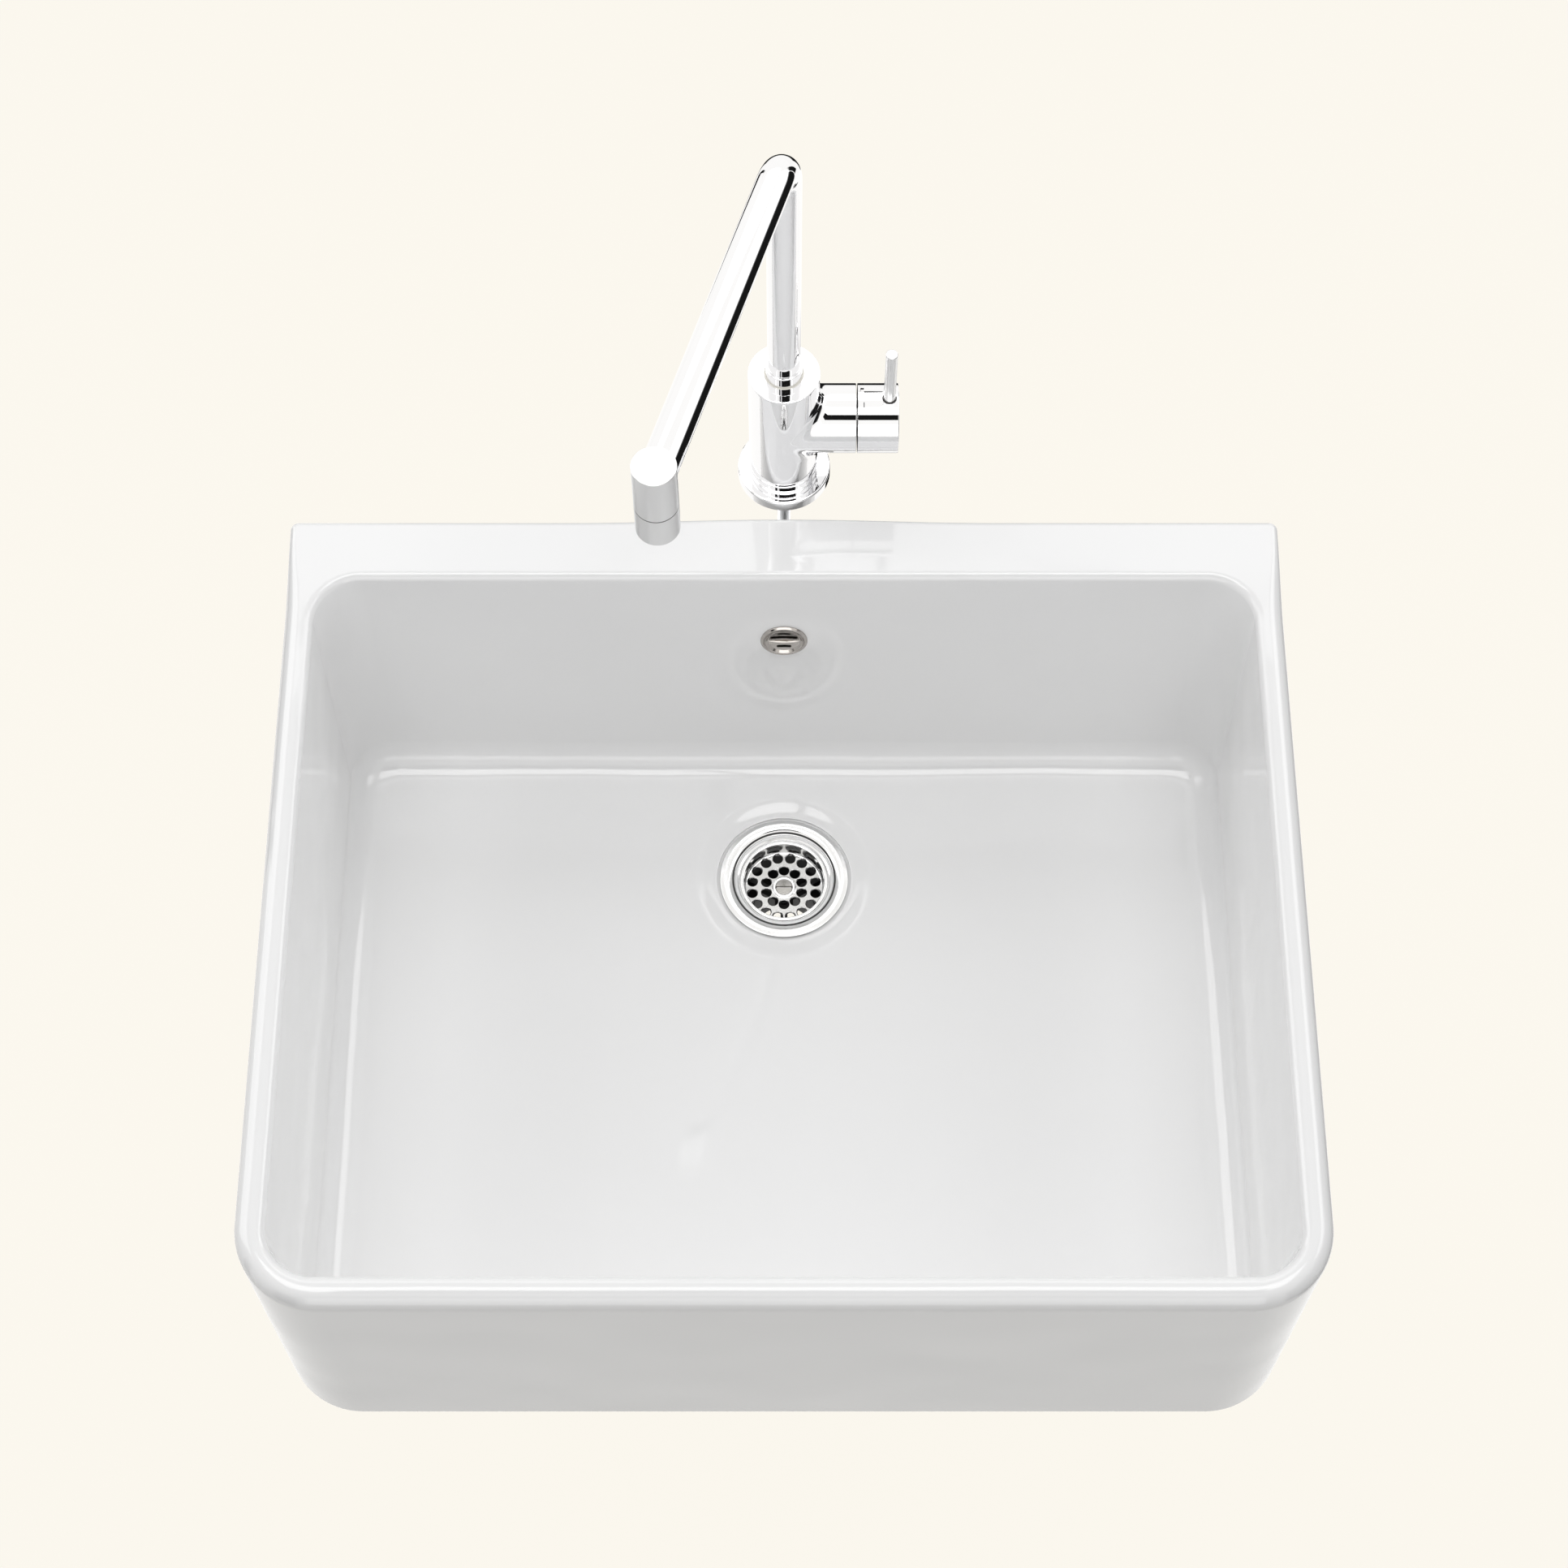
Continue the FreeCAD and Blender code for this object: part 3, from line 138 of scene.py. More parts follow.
class Paint:
    """The node tree of one material or of the world, with short ways to add to it."""

    def __init__(self, owner: bpy.types.Material | bpy.types.World) -> None:
        """Starts an empty tree.

        Args:
            owner: The new material or world.
        """
        owner.use_nodes = True
        self.owner = owner
        self.tree = owner.node_tree
        self.tree.nodes.clear()

    @classmethod
    def named(cls, name: str) -> "Paint":
        """Starts the tree of a new material."""
        return cls(bpy.data.materials.new(name))

    @cached_property
    def places(self) -> bpy.types.NodeSocket:
        """The object coordinates."""
        return self.node("ShaderNodeTexCoord").outputs["Object"]

    def node(self, kind: str, settings: dict[str, object] | None = None,
             inputs: dict[str | int, object] | None = None) -> bpy.types.Node:
        """Adds a node of any type.

        Args:
            kind: The node's type name.
            settings: Attributes that are set first.
            inputs: Values, wires, sockets or shader nodes by socket name or number.

        Returns:
            The new node.
        """
        made = self.tree.nodes.new(kind)
        for key, value in (settings or {}).items():
            setattr(made, key, value)
        for key, value in (inputs or {}).items():
            if isinstance(value, Wire):
                value = value.socket
            if isinstance(value, bpy.types.Node):
                value = value.outputs[0]
            if isinstance(value, bpy.types.NodeSocket):
                self.tree.links.new(value, made.inputs[key])
            else:
                made.inputs[key].default_value = value
        return made

    def math(self, operation: str, *values: "Wire | float") -> Wire:
        """The result of a Math node."""
        node = self.node("ShaderNodeMath", {"operation": operation}, dict(enumerate(values)))
        return Wire(self, node.outputs[0])

    def noise(self, per_metre: float, detail: float = 2.0,
              vector: Wire | None = None) -> Wire:
        """Adds a noise texture.

        Args:
            per_metre: How many of its blobs fit in a metre.
            detail: Octaves of finer noise.
            vector: Coordinates in metres, or None for the object's own.

        Returns:
            The noise, from 0 to 1.
        """
        node = self.node(
            "ShaderNodeTexNoise", {"noise_dimensions": "3D"},
            {"Vector": vector or self.places, "Scale": per_metre, "Detail": detail})
        return Wire(self, node.outputs[0])

    def split(self) -> tuple[Wire, Wire, Wire]:
        """The object coordinates as three wires."""
        node = self.node("ShaderNodeSeparateXYZ", None, {0: self.places})
        return tuple(Wire(self, out) for out in node.outputs)

    def join(self, x: Wire | float, y: Wire | float, z: Wire | float) -> Wire:
        """Three values as one vector."""
        node = self.node("ShaderNodeCombineXYZ", None, {0: x, 1: y, 2: z})
        return Wire(self, node.outputs[0])

    def radius(self, centre: Vector) -> Wire:
        """Distance from an upright axis through a point, in metres."""
        x, y, _ = self.split()
        dx, dy = x - centre.x, y - centre.y
        return self.math("SQRT", dx * dx + dy * dy)

    def blend(self, factor: Wire, first: Colour | Wire, second: Colour | Wire) -> Wire:
        """Mixes two colours, each a linear colour or a wire.

        Args:
            factor: 0 for the first and 1 for the second.
            first: The colour at 0.
            second: The colour at 1.

        Returns:
            The mixed colour.
        """
        first, second = (c if isinstance(c, Wire) else opaque(c) for c in (first, second))
        node = self.node("ShaderNodeMix", {"data_type": "RGBA"}, {0: factor, 6: first, 7: second})
        return Wire(self, node.outputs[2])

    def vary(self, factor: Wire, colour: Colour, darker: float, lighter: float) -> Wire:
        """A colour that is scaled by 1 - darker where the factor is 0, and by 1 + lighter at 1."""
        return self.blend(factor, scaled(colour, -darker), scaled(colour, lighter))

    def fade(self, factor: Wire | bpy.types.NodeSocket, first: bpy.types.Node,
             second: bpy.types.Node) -> bpy.types.Node:
        """Mixes two shaders, the first of them where the factor is 0."""
        return self.node("ShaderNodeMixShader", None, {0: factor, 1: first, 2: second})

    def bump(self, height: Wire, millimetres: float, below: Wire | None = None) -> Wire:
        """Adds a bump.

        Args:
            height: From 0 to 1.
            millimetres: What a height of 1 stands for.
            below: A normal that this bump is laid on.

        Returns:
            The bumped normal.
        """
        inputs: dict[str | int, object] = {"Height": height, "Distance": millimetres * MM}
        if below:
            inputs["Normal"] = below
        return Wire(self, self.node("ShaderNodeBump", None, inputs).outputs[0])

    def finish(self, shader: bpy.types.Node, output: str = "ShaderNodeOutputMaterial",
               ) -> bpy.types.Material | bpy.types.World:
        """Ends the tree in a shader, and gives back the material or world."""
        self.node(output, None, {0: shader})
        return self.owner

    def surface(self, inputs: dict[str | int, object]) -> bpy.types.Material:
        """Ends the tree in one Principled shader."""
        return self.finish(self.node("ShaderNodeBsdfPrincipled", None, inputs))


def scaled(colour: Colour, share: float) -> Colour:
    """A colour scaled by 1 + share, kept below 1."""
    return tuple(min(c * (1 + share), 1.0) for c in colour)


def opaque(colour: Colour) -> tuple[float, float, float, float]:
    """A colour with full alpha."""
    return (*colour, 1.0)


# ------------------------------------------------------------------ finishes
class Grain(Enum):
    """Which way the fine lines of a worked metal run."""

    NONE = "none"
    ROUND_UPRIGHT = "rings stacked along an upright axis"
    CONCENTRIC = "rings about an upright axis, seen from above"


@dataclass(frozen=True)
class Glaze:
    """White glaze over fireclay, bare where the sink stands on its kiln shelf."""

    name: str = "white_glaze"
    white: Colour = (0.86, 0.86, 0.86)
    bisque: Colour = (0.62, 0.56, 0.47)
    roughness: float = 0.055
    bisque_roughness: float = 0.72
    refraction: float = 1.56
    wave: float = 2.2
    peel: float = 0.006
    grit: float = 0.12
    bare_below: float = 1.6
    bare_edge: float = 0.7
    ragged: float = 1.6

    def build(self) -> bpy.types.Material:
        """Builds the material."""
        paint = Paint.named(self.name)
        _, _, height = paint.split()
        drift = paint.noise(7.0)
        ragged = height + (paint.noise(90.0, 3.0) - 0.5) * (self.ragged * MM)
        bare = ragged.step(self.bare_below * MM, (self.bare_below - self.bare_edge) * MM)
        speckle = paint.noise(1400.0)
        glazed = paint.vary(drift, self.white, 0.012, 0.012)
        clay = paint.vary(speckle, self.bisque, 0.16, 0.12)
        slow = paint.bump(paint.noise(10.5, 1.2), self.wave)
        peel = paint.bump(paint.noise(260.0), self.peel, slow)
        return paint.surface({
            "Base Color": paint.blend(bare, glazed, clay),
            "Roughness": self.roughness + drift * 0.03 + bare * self.bisque_roughness,
            "IOR": self.refraction, "Normal": paint.bump(speckle * bare, self.grit, peel)})


@dataclass(frozen=True)
class Metal:
    """Plated, polished or machined metal with faint wipe marks."""

    name: str
    colour: Colour
    roughness: float
    smudge: float = 0.02
    tint: float = 0.015
    grain: Grain = Grain.NONE
    lines_per_metre: float = 0.0
    line_depth: float = 0.0
    centre: tuple[float, float] = (0.0, 0.0)

    def build(self) -> bpy.types.Material:
        """Builds the material."""
        paint = Paint.named(self.name)
        cloud = paint.noise(38.0, 3.0)
        inputs: dict[str | int, object] = {
            "Base Color": paint.vary(cloud, self.colour, self.tint, self.tint),
            "Metallic": 1.0, "Roughness": self.roughness + cloud.step(0.35, 0.8) * self.smudge}
        if self.grain is not Grain.NONE:
            lines = paint.noise(self.lines_per_metre, 3.0, self._across(paint))
            inputs["Normal"] = paint.bump(lines, self.line_depth)
        return paint.surface(inputs)

    def _across(self, paint: Paint) -> Wire:
        """Coordinates in metres that change only across the grain."""
        if self.grain is Grain.CONCENTRIC:
            return paint.join(paint.radius(Vector((*self.centre, 0.0))), 0.0, 0.0)
        _, _, height = paint.split()
        return paint.join(0.0, 0.0, height)


@dataclass(frozen=True)
class Moulded:
    """Plastic, rubber, powder coat or lapped ceramic: one body colour with a fine skin."""

    name: str
    colour: Colour
    roughness: float
    skin: float = 0.01
    skin_per_metre: float = 900.0
    variation: float = 0.05

    def build(self) -> bpy.types.Material:
        """Builds the material."""
        paint = Paint.named(self.name)
        cloud, fine = paint.noise(30.0, 3.0), paint.noise(self.skin_per_metre)
        return paint.surface({
            "Base Color": paint.vary(cloud, self.colour, self.variation, self.variation),
            "Roughness": self.roughness + cloud * 0.08,
            "Normal": paint.bump(fine, self.skin)})


# ------------------------------------------------------------------ mesh bench
UP = Vector((0.0, 0.0, 1.0))


def clamp(value: float, low: float = 0.0) -> float:
    """Keeps a value between a lower limit and 1."""
    return min(max(value, low), 1.0)


def smooth(share: float) -> float:
    """Keeps a share between 0 and 1, and eases it in and out."""
    share = clamp(share)
    return share * share * (3 - 2 * share)


def quarter(steps: int) -> list[tuple[float, float]]:
    """A quarter of a unit circle, from a drop of 1 to an inset of 1, as insets and drops."""
    angles = (math.pi / 2 * step / steps for step in range(steps + 1))
    return [(1 - math.cos(a), 1 - math.sin(a)) for a in angles]


def verts_of(made: Iterable[object]) -> list[bmesh.types.BMVert]:
    """The vertices among an operator's results."""
    return [v for v in made if isinstance(v, bmesh.types.BMVert)]


def edges_of(made: Iterable[object]) -> list[bmesh.types.BMEdge]:
    """The edges among an operator's results."""
    return [e for e in made if isinstance(e, bmesh.types.BMEdge)]


def edges_at(verts: Iterable[bmesh.types.BMVert]) -> list[bmesh.types.BMEdge]:
    """Each edge that one of the vertices has, once."""
    return list(dict.fromkeys(e for v in verts for e in v.link_edges))


def add_object(name: str, data: bpy.types.ID) -> bpy.types.Object:
    """Makes an object in the scene."""
    obj = bpy.data.objects.new(name, data)
    bpy.context.scene.collection.objects.link(obj)
    return obj


@dataclass(frozen=True)
class Corner:
    """One corner of a turned outline, with the radius that softens it."""

    radius: float
    height: float
    soft: float = 0.0


def softened(corners: Sequence[Corner], steps: int = 5) -> list[Vector]:
    """Replaces each soft corner of a closed outline by an arc.

    Args:
        corners: The outline's corners, in order.
        steps: Edges in each arc.

    Returns:
        Points in the XZ plane.
    """
    points: list[Vector] = []
    for index, corner in enumerate(corners):
        here = Vector((corner.radius, 0.0, corner.height))
        before, after = corners[index - 1], corners[(index + 1) % len(corners)]
        back = Vector((before.radius, 0.0, before.height)) - here
        ahead = Vector((after.radius, 0.0, after.height)) - here
        if corner.soft <= 0 or back.length < 1e-6 or ahead.length < 1e-6:
            points.append(here)
            continue
        half = back.angle(ahead) / 2
        reach = min(corner.soft / math.tan(half), back.length * 0.49, ahead.length * 0.49)
        start, end = here + back.normalized() * reach, here + ahead.normalized() * reach
        for step in range(steps + 1):
            share = step / steps
            first, second = start.lerp(here, share), here.lerp(end, share)
            points.append(first.lerp(second, share))
    return points


class Bench:
    """A bmesh being worked on, in millimetres."""

    def __init__(self) -> None:
        """Starts with nothing on the bench."""
        self.mesh = bmesh.new()

    def ring(self, points: Sequence[Vector]) -> list[bmesh.types.BMVert]:
        """Lays a closed ring of edges.

        Args:
            points: Where its vertices go, in order.

        Returns:
            The vertices, in the same order.
        """
        made = bmesh.ops.create_circle(self.mesh, cap_ends=False, segments=len(points), radius=1.0)
        for vert, point in zip(made["verts"], points):
            vert.co = point
        return made["verts"]

    def grow(self, ring: list[bmesh.types.BMVert],
             points: Sequence[Vector]) -> list[bmesh.types.BMVert]:
        """Extrudes a ring to new places.

        Args:
            ring: Vertices of the ring, in order.
            points: Where the new ring's vertices go, in the same order.

        Returns:
            The new ring.
        """
        inside = set(ring)
        edges = [e for e in edges_at(ring) if inside.issuperset(e.verts)]
        fresh = set(verts_of(bmesh.ops.extrude_edge_only(self.mesh, edges=edges)["geom"]))
        grown = []
        for vert, point in zip(ring, points):
            over = next(e.other_vert(vert) for e in vert.link_edges if e.other_vert(vert) in fresh)
            over.co = point
            grown.append(over)
        return grown

    def skin(self, rings: Sequence[Sequence[Vector]], ends: int = 0) -> None:
        """Spans a skin over rings that all have the same number of points.

        Args:
            rings: Their points, in order.
            ends: How many of its ends are filled, the first ring before the last.
        """
        ring = self.ring(rings[0])
        if ends > 0:
            self.mesh.faces.new(ring)
        for points in rings[1:]:
            ring = self.grow(ring, points)
        if ends > 1:
            self.mesh.faces.new(ring)

    def spin(self, ring: list[bmesh.types.BMVert], segments: int, climb: float = 0.0) -> None:
        """Spins a ring round the Z axis, and joins its end to its start if it doesn't climb."""
        bmesh.ops.spin(self.mesh, geom=[*ring, *edges_at(ring)], cent=(0, 0, 0), axis=UP,
                       dvec=UP * (climb / segments), angle=math.tau, steps=segments,
                       use_merge=not climb, use_duplicate=False)

    def lathe(self, corners: Sequence[Corner], segments: int = 96, steps: int = 5) -> None:
        """Spins a closed outline round the Z axis.

        Args:
            corners: The outline, as radius and height.
            segments: Edges round the axis.
            steps: Edges in each softened corner.
        """
        self.spin(self.ring(softened(corners, steps)), segments)
        bmesh.ops.remove_doubles(self.mesh, verts=self.mesh.verts, dist=1e-4)
        loose = [e for e in self.mesh.edges if not e.link_faces]
        bmesh.ops.delete(self.mesh, geom=loose, context="EDGES")

    def block(self, low: Vector, high: Vector, soft: float = 0.0) -> None:
        """Adds a box with bevelled edges.

        Args:
            low: Its lowest corner.
            high: Its highest corner.
            soft: Width of the bevels.
        """
        made = bmesh.ops.create_cube(self.mesh, size=1.0)["verts"]
        bmesh.ops.scale(self.mesh, verts=made, vec=high - low)
        bmesh.ops.translate(self.mesh, verts=made, vec=(high + low) / 2)
        if soft > 0:
            bmesh.ops.bevel(self.mesh, geom=edges_at(made), offset=soft, affect="EDGES",
                            segments=3, profile=0.5, material=-1)

    def place(self, matrix: Matrix) -> "Bench":
        """Moves all that is on the bench."""
        bmesh.ops.transform(self.mesh, matrix=matrix, verts=self.mesh.verts)
        return self

    def copies(self, turns: Iterable[Matrix]) -> None:
        """Repeats what is on the bench.

        Args:
            turns: One matrix for each copy, the first one included.
        """
        start = self.mesh.verts[:] + self.mesh.edges[:] + self.mesh.faces[:]
        for turn in turns:
            made = bmesh.ops.duplicate(self.mesh, geom=start)["geom"]
            bmesh.ops.transform(self.mesh, matrix=turn, verts=verts_of(made))
        bmesh.ops.delete(self.mesh, geom=start, context="VERTS")

    def tidy(self) -> None:
        """Merges doubles and turns the faces outwards."""
        bmesh.ops.remove_doubles(self.mesh, verts=self.mesh.verts, dist=5e-4)
        bmesh.ops.recalc_face_normals(self.mesh, faces=self.mesh.faces)

    def bake(self, name: str) -> bpy.types.Mesh:
        """Turns what is on the bench into mesh data, and clears the bench."""
        data = bpy.data.meshes.new(name)
        self.mesh.to_mesh(data)
        self.mesh.free()
        return data

    def combine(self, tool: "Bench", operation: str = "DIFFERENCE") -> None:
        """Cuts another bench's solid out of this one, or joins it on.

        Args:
            tool: The other bench, which is used up.
            operation: The Boolean modifier's operation.
        """
        made = []
        for bench in (self, tool):
            bench.tidy()
            made.append(add_object("bench", bench.bake("bench")))
        boolean = made[0].modifiers.new("cut", "BOOLEAN")
        boolean.operation, boolean.object, boolean.solver = operation, made[1], "EXACT"
        shown = made[0].evaluated_get(bpy.context.evaluated_depsgraph_get())
        self.mesh = bmesh.new()
        self.mesh.from_mesh(shown.to_mesh())
        for obj in made:
            bpy.data.objects.remove(obj)


@dataclass(frozen=True)
class Label:
    """What a finished piece is called, and where it belongs."""

    name: str
    body: str
    slot: Slot
    stands_for: tuple[str, ...] = ()
    sharp: float = 32.0
    patch: Patch | None = None
    patched: Callable[[Vector], bool] = lambda spot: True


class Workshop:
    """Turns benches into dressed pieces and dresses the frame's own parts."""

    def __init__(self, finishes: dict[Slot | Patch, bpy.types.Material]) -> None:
        """Keeps one material for each slot and patch."""
        self.finishes = finishes

    def piece(self, bench: Bench, label: Label) -> bpy.types.Object:
        """Finishes a piece and sets it on its body.

        Args:
            bench: The mesh, which is used up.
            label: Its name, body, slot and the parts that it stands for.

        Returns:
            The new object.
        """
        bench.tidy()
        bench.place(Matrix.Scale(MM, 4))
        for face in bench.mesh.faces:
            face.smooth = True
        data = bench.bake(label.name)
        data.set_sharp_from_angle(angle=math.radians(label.sharp))
        data.materials.append(self.finishes[label.slot])
        if label.patch:
            data.materials.append(self.finishes[label.patch])
            for polygon in data.polygons:
                polygon.material_index = int(label.patched(polygon.center / MM))
        obj = add_object(label.name, data)
        weighted = obj.modifiers.new("weighted", "WEIGHTED_NORMAL")
        weighted.keep_sharp = True
        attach(obj, label.body)
        if label.stands_for:
            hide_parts(*label.stands_for)
        LOG.info("%s: %d faces, rides on %s", label.name, len(data.polygons), label.body)
        return obj

    def turned(self, corners: Sequence[Corner], seat: Matrix, label: Label, segments: int = 96,
               steps: int = 5) -> None:
        """Finishes a piece that is a closed outline spun round an axis, and nothing more.

        Args:
            corners: The outline, as radius and height.
            seat: Carries it from the Z axis to its own.
            label: Its name, body, slot and the parts that it stands for.
            segments: Edges round the axis.
            steps: Edges in each softened corner.
        """
        bench = Bench()
        bench.lathe(corners, segments, steps)
        self.piece(bench.place(seat), label)

    def dress(self, slot: Slot, *nodes: str) -> None:
        """Gives some of the frame's own parts the finish of one slot."""
        for node in nodes:
            for material_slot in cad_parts[node].material_slots:
                material_slot.material = self.finishes[slot]
            LOG.info("%s: own mesh, %s", node, slot.value)


@dataclass(frozen=True)
class Place:
    """A node's box in millimetres."""

    low: Vector
    high: Vector

    @classmethod
    def of(cls, node: str) -> "Place":
        """Reads a node's box from the frame."""
        low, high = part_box(node)
        return cls(low / MM, high / MM)

    @property
    def centre(self) -> Vector:
        """The box's middle."""
        return (self.low + self.high) / 2

    @property
    def size(self) -> Vector:
        """The box's three lengths."""
        return self.high - self.low

    @property
    def axis(self) -> Vector:
        """Where the upright line through its middle meets the frame's floor."""
        return Vector((self.centre.x, self.centre.y, 0.0))


def box_of(node: str) -> Place:
    """A dataclass field that holds a node's box."""
    return field(default_factory=lambda: Place.of(node))


def turn_z(degrees: float) -> Matrix:
    """A turn about the Z axis."""
    return Matrix.Rotation(math.radians(degrees), 4, "Z")


def shift(x: float = 0.0, y: float = 0.0, z: float = 0.0) -> Matrix:
    """A move without a turn."""
    return Matrix.Translation((x, y, z))


# ------------------------------------------------------------------ ceramic
@dataclass(frozen=True)
class Plan:
    """A rounded rectangle seen from above.

    Two plans are walked in step. Where one has a tighter corner than the other, leads of straight
    edge before and after its arc make up for it.
    """

    half: float
    front: float
    back: float
    front_corner: float
    rear_corner: float
    side_lead: float = 0.0
    rear_lead: float = 0.0
    arc_steps: int = 24
    lead_steps: int = 7
    side_steps: int = 36
    long_steps: int = 64

    def walk(self) -> list[tuple[Vector, Vector]]:
        """Walks once round, from the front right corner.

        Returns:
            Pairs of a place and the outward normal there.
        """
        rear, fore = self.rear_corner, self.front_corner
        side, back = self.side_lead, self.rear_lead
        corners = [
            self._corner(self.half - fore, self.front + fore, fore, -90.0, 0.0, 0.0),
            self._corner(self.half - rear, self.back - rear, rear, 0.0, side, back),
            self._corner(rear - self.half, self.back - rear, rear, 90.0, back, side),
            self._corner(fore - self.half, self.front + fore, fore, 180.0, 0.0, 0.0)]
        walked = []
        for index, corner in enumerate(corners):
            steps = self.long_steps if index % 2 else self.side_steps
            (start, normal), (end, _) = corner[-1], corners[(index + 1) % 4][0]
            walked += corner
            walked += [(start.lerp(end, k / steps), normal) for k in range(1, steps)]
        return walked

    def _corner(self, x: float, y: float, radius: float, first: float, before: float,
                after: float) -> list[tuple[Vector, Vector]]:
        """One corner with its leads.

        Args:
            x: Centre of its arc.
            y: Centre of its arc.
            radius: Radius of its arc.
            first: Direction of the arc's start from its centre, in degrees.
            before: Length of the lead before the arc.
            after: Length of the lead after it.

        Returns:
            Pairs of a place and the outward normal there.
        """
        leads = self.lead_steps if before + after > 0 else 0
        steps = self.arc_steps - 2 * leads
        turns = [math.radians(first + 90.0 * k / steps) for k in range(steps + 1)]
        normals = [Vector((math.cos(a), math.sin(a), 0.0)) for a in turns]
        arc = [(Vector((x, y, 0.0)) + n * radius, n) for n in normals]
        (start, level), (end, over) = arc[0], arc[-1]
        along, onward = (Vector((-n.y, n.x, 0.0)) for n in (level, over))
        lead_in = [(start - along * before * (1 - k / leads), level) for k in range(leads)]
        lead_out = [(end + onward * after * (k + 1) / leads, over) for k in range(leads)]
        return lead_in + arc + lead_out


@dataclass
class ApronSink:
    """The fireclay sink: apron, rolled rim, leaning bowl and the waste's recess."""

    side_rim: float = 17.5
    front_rim: float = 17.5
    ledge: float = 40.0
    floor: float = 30.0
    side_lean: float = 1.0
    front_lean: float = 2.0
    rear_lean: float = 7.0
    apron_corner: float = 48.0
    rear_corner: float = 5.0
    bowl_corner: float = 28.0
    bowl_fillet: float = 20.0
    rim_roll: float = 10.6
    rear_roll: float = 4.0
    mouth_round: float = 5.5
    foot_round: float = 6.0
    rear_foot_round: float = 2.0
    rear_blend: float = 60.0
    rear_straight: float = 6.0
    bulge: float = 2.5
    bulge_half: float = 130.0
    drain_hole: float = 30.0
    seat: float = 43.0
    seat_drop: float = 3.8
    recess: float = 57.5
    recess_drop: float = 2.6
    relief_gap: float = 2.0
    overflow_hole: float = 12.0
    fillet_sway: float = 2.6
    sway_per_mm: float = 0.009
    wall_levels: tuple[float, ...] = (25.0, 75.0, 100.0, 150.0, 180.0)
    box: Place = box_of("sink_bowl")
    carrier: Place = box_of("tap_carrier")
    gasket: Place = box_of("lower_gasket")
    drain: Vector = field(default_factory=lambda: Place.of("waste_flange").centre)

    def __post_init__(self) -> None:
        """Works out the two plans that the rings follow, and where they look at the waste."""
        half, self.height = self.box.size.x / 2, self.box.high.z
        self.back = self.box.high.y - self.bulge
        self.bowl_half = half - self.side_rim
        self.bowl_front, self.bowl_back = self.box.low.y + self.front_rim, self.back - self.ledge
        longer = self.bowl_corner - self.rear_corner
        self.outer = Plan(half, self.box.low.y, self.back, self.apron_corner, self.rear_corner,
                          self.ledge + longer, self.side_rim + longer).walk()
        self.mouth = Plan(self.bowl_half, self.bowl_front, self.bowl_back, self.bowl_corner,
                          self.bowl_corner).walk()
        self.bowl = self._inside()
        self.away = [(point - self.drain).to_2d().normalized().to_3d() for point in self.bowl[-1]]

    def build(self, shop: Workshop) -> None:
        """Builds and dresses the sink."""
        bench = Bench()
        low = self._drain_ring(self.drain_hole, self.gasket.high.z)
        bench.skin([low, *self._outside(), *self.bowl, *self._recess(), low])
        bench.tidy()
        bench.combine(self._overflow_bore())
        shop.piece(bench, Label("glazed_sink", "sink", Slot.GLAZE, ("sink_bowl",), 40.0))

    def lean(self, normal: Vector) -> float:
        """How far the bowl's wall leans where it faces a given way, in radians."""
        lengthwise = self.rear_lean if normal.y > 0 else self.front_lean
        return math.radians(self.side_lean * normal.x ** 2 + lengthwise * normal.y ** 2)

    def sway(self, place: Vector) -> float:
        """A slow hand-made unevenness of the fillet along the sink."""
        return noise.noise(place * self.sway_per_mm + UP * 3.0) * self.fillet_sway

    def _drain_ring(self, radius: float, height: float) -> list[Vector]:
        """A circle about the waste, its points set towards those of the floor's edge."""
        centre = Vector((self.drain.x, self.drain.y, height))
        return [centre + away * radius for away in self.away]

    def _outer_ring(self, inset: float, height: float, rear_inset: float,
                    rear_height: float) -> list[Vector]:
        """A ring on the outside.

        Args:
            inset: How far inside the plan it runs at the front and sides.
            height: Its height there.
            rear_inset: How far inside the plan it runs at the back.
            rear_height: Its height at the back.

        Returns:
            Its points.
        """
        ring = []
        for place, normal in self.outer:
            share = smooth((place.y - self.back + self.rear_straight) / self.rear_blend + 1)
            point = place - normal * (inset + (rear_inset - inset) * share)
            point.z = height + (rear_height - height) * share
            if normal.y > 0.99 and abs(point.x) < self.bulge_half:
                point.y += self._swell(point)
            ring.append(point)
        return ring

    def _swell(self, point: Vector) -> float:
        """How far the back swells over the overflow channel at a point."""
        pocket = abs(point.x) < self.carrier.high.x + 1
        if pocket and self.carrier.low.z - 1 < point.z < self.carrier.high.z + 1:
            return 0.0
        return self.bulge * (0.5 + 0.5 * math.cos(math.pi * point.x / self.bulge_half))

    def _outside(self, steps: int = 8) -> list[list[Vector]]:
        """Rings of the underside, the foot, the walls and the rolled rim."""
        relief = self.gasket.size.x / 2 + self.relief_gap
        foot, rear_foot = self.foot_round, self.rear_foot_round
        low, high = self.carrier.low.z, self.carrier.high.z
        levels = sorted([*self.wall_levels, low - 1.1, low - 0.9, high + 0.9, high + 1.1])
        return [
            self._drain_ring(relief, self.gasket.high.z), self._drain_ring(relief, 0.0),
            self._drain_ring(relief + 6.0, 0.0),
            self._outer_ring(foot + 3.0, 0.0, rear_foot + 3.0, 0.0),
            *(self._outer_ring(foot * inset, foot * drop, rear_foot * inset, rear_foot * drop)
              for inset, drop in reversed(quarter(steps))),
            *(self._outer_ring(0.0, level, 0.0, level) for level in levels),
            *(self._outer_ring(self.rim_roll * inset, self.height - self.rim_roll * drop,
                               self.rear_roll * inset, self.height - self.rear_roll * drop)
              for inset, drop in quarter(steps + 2))]

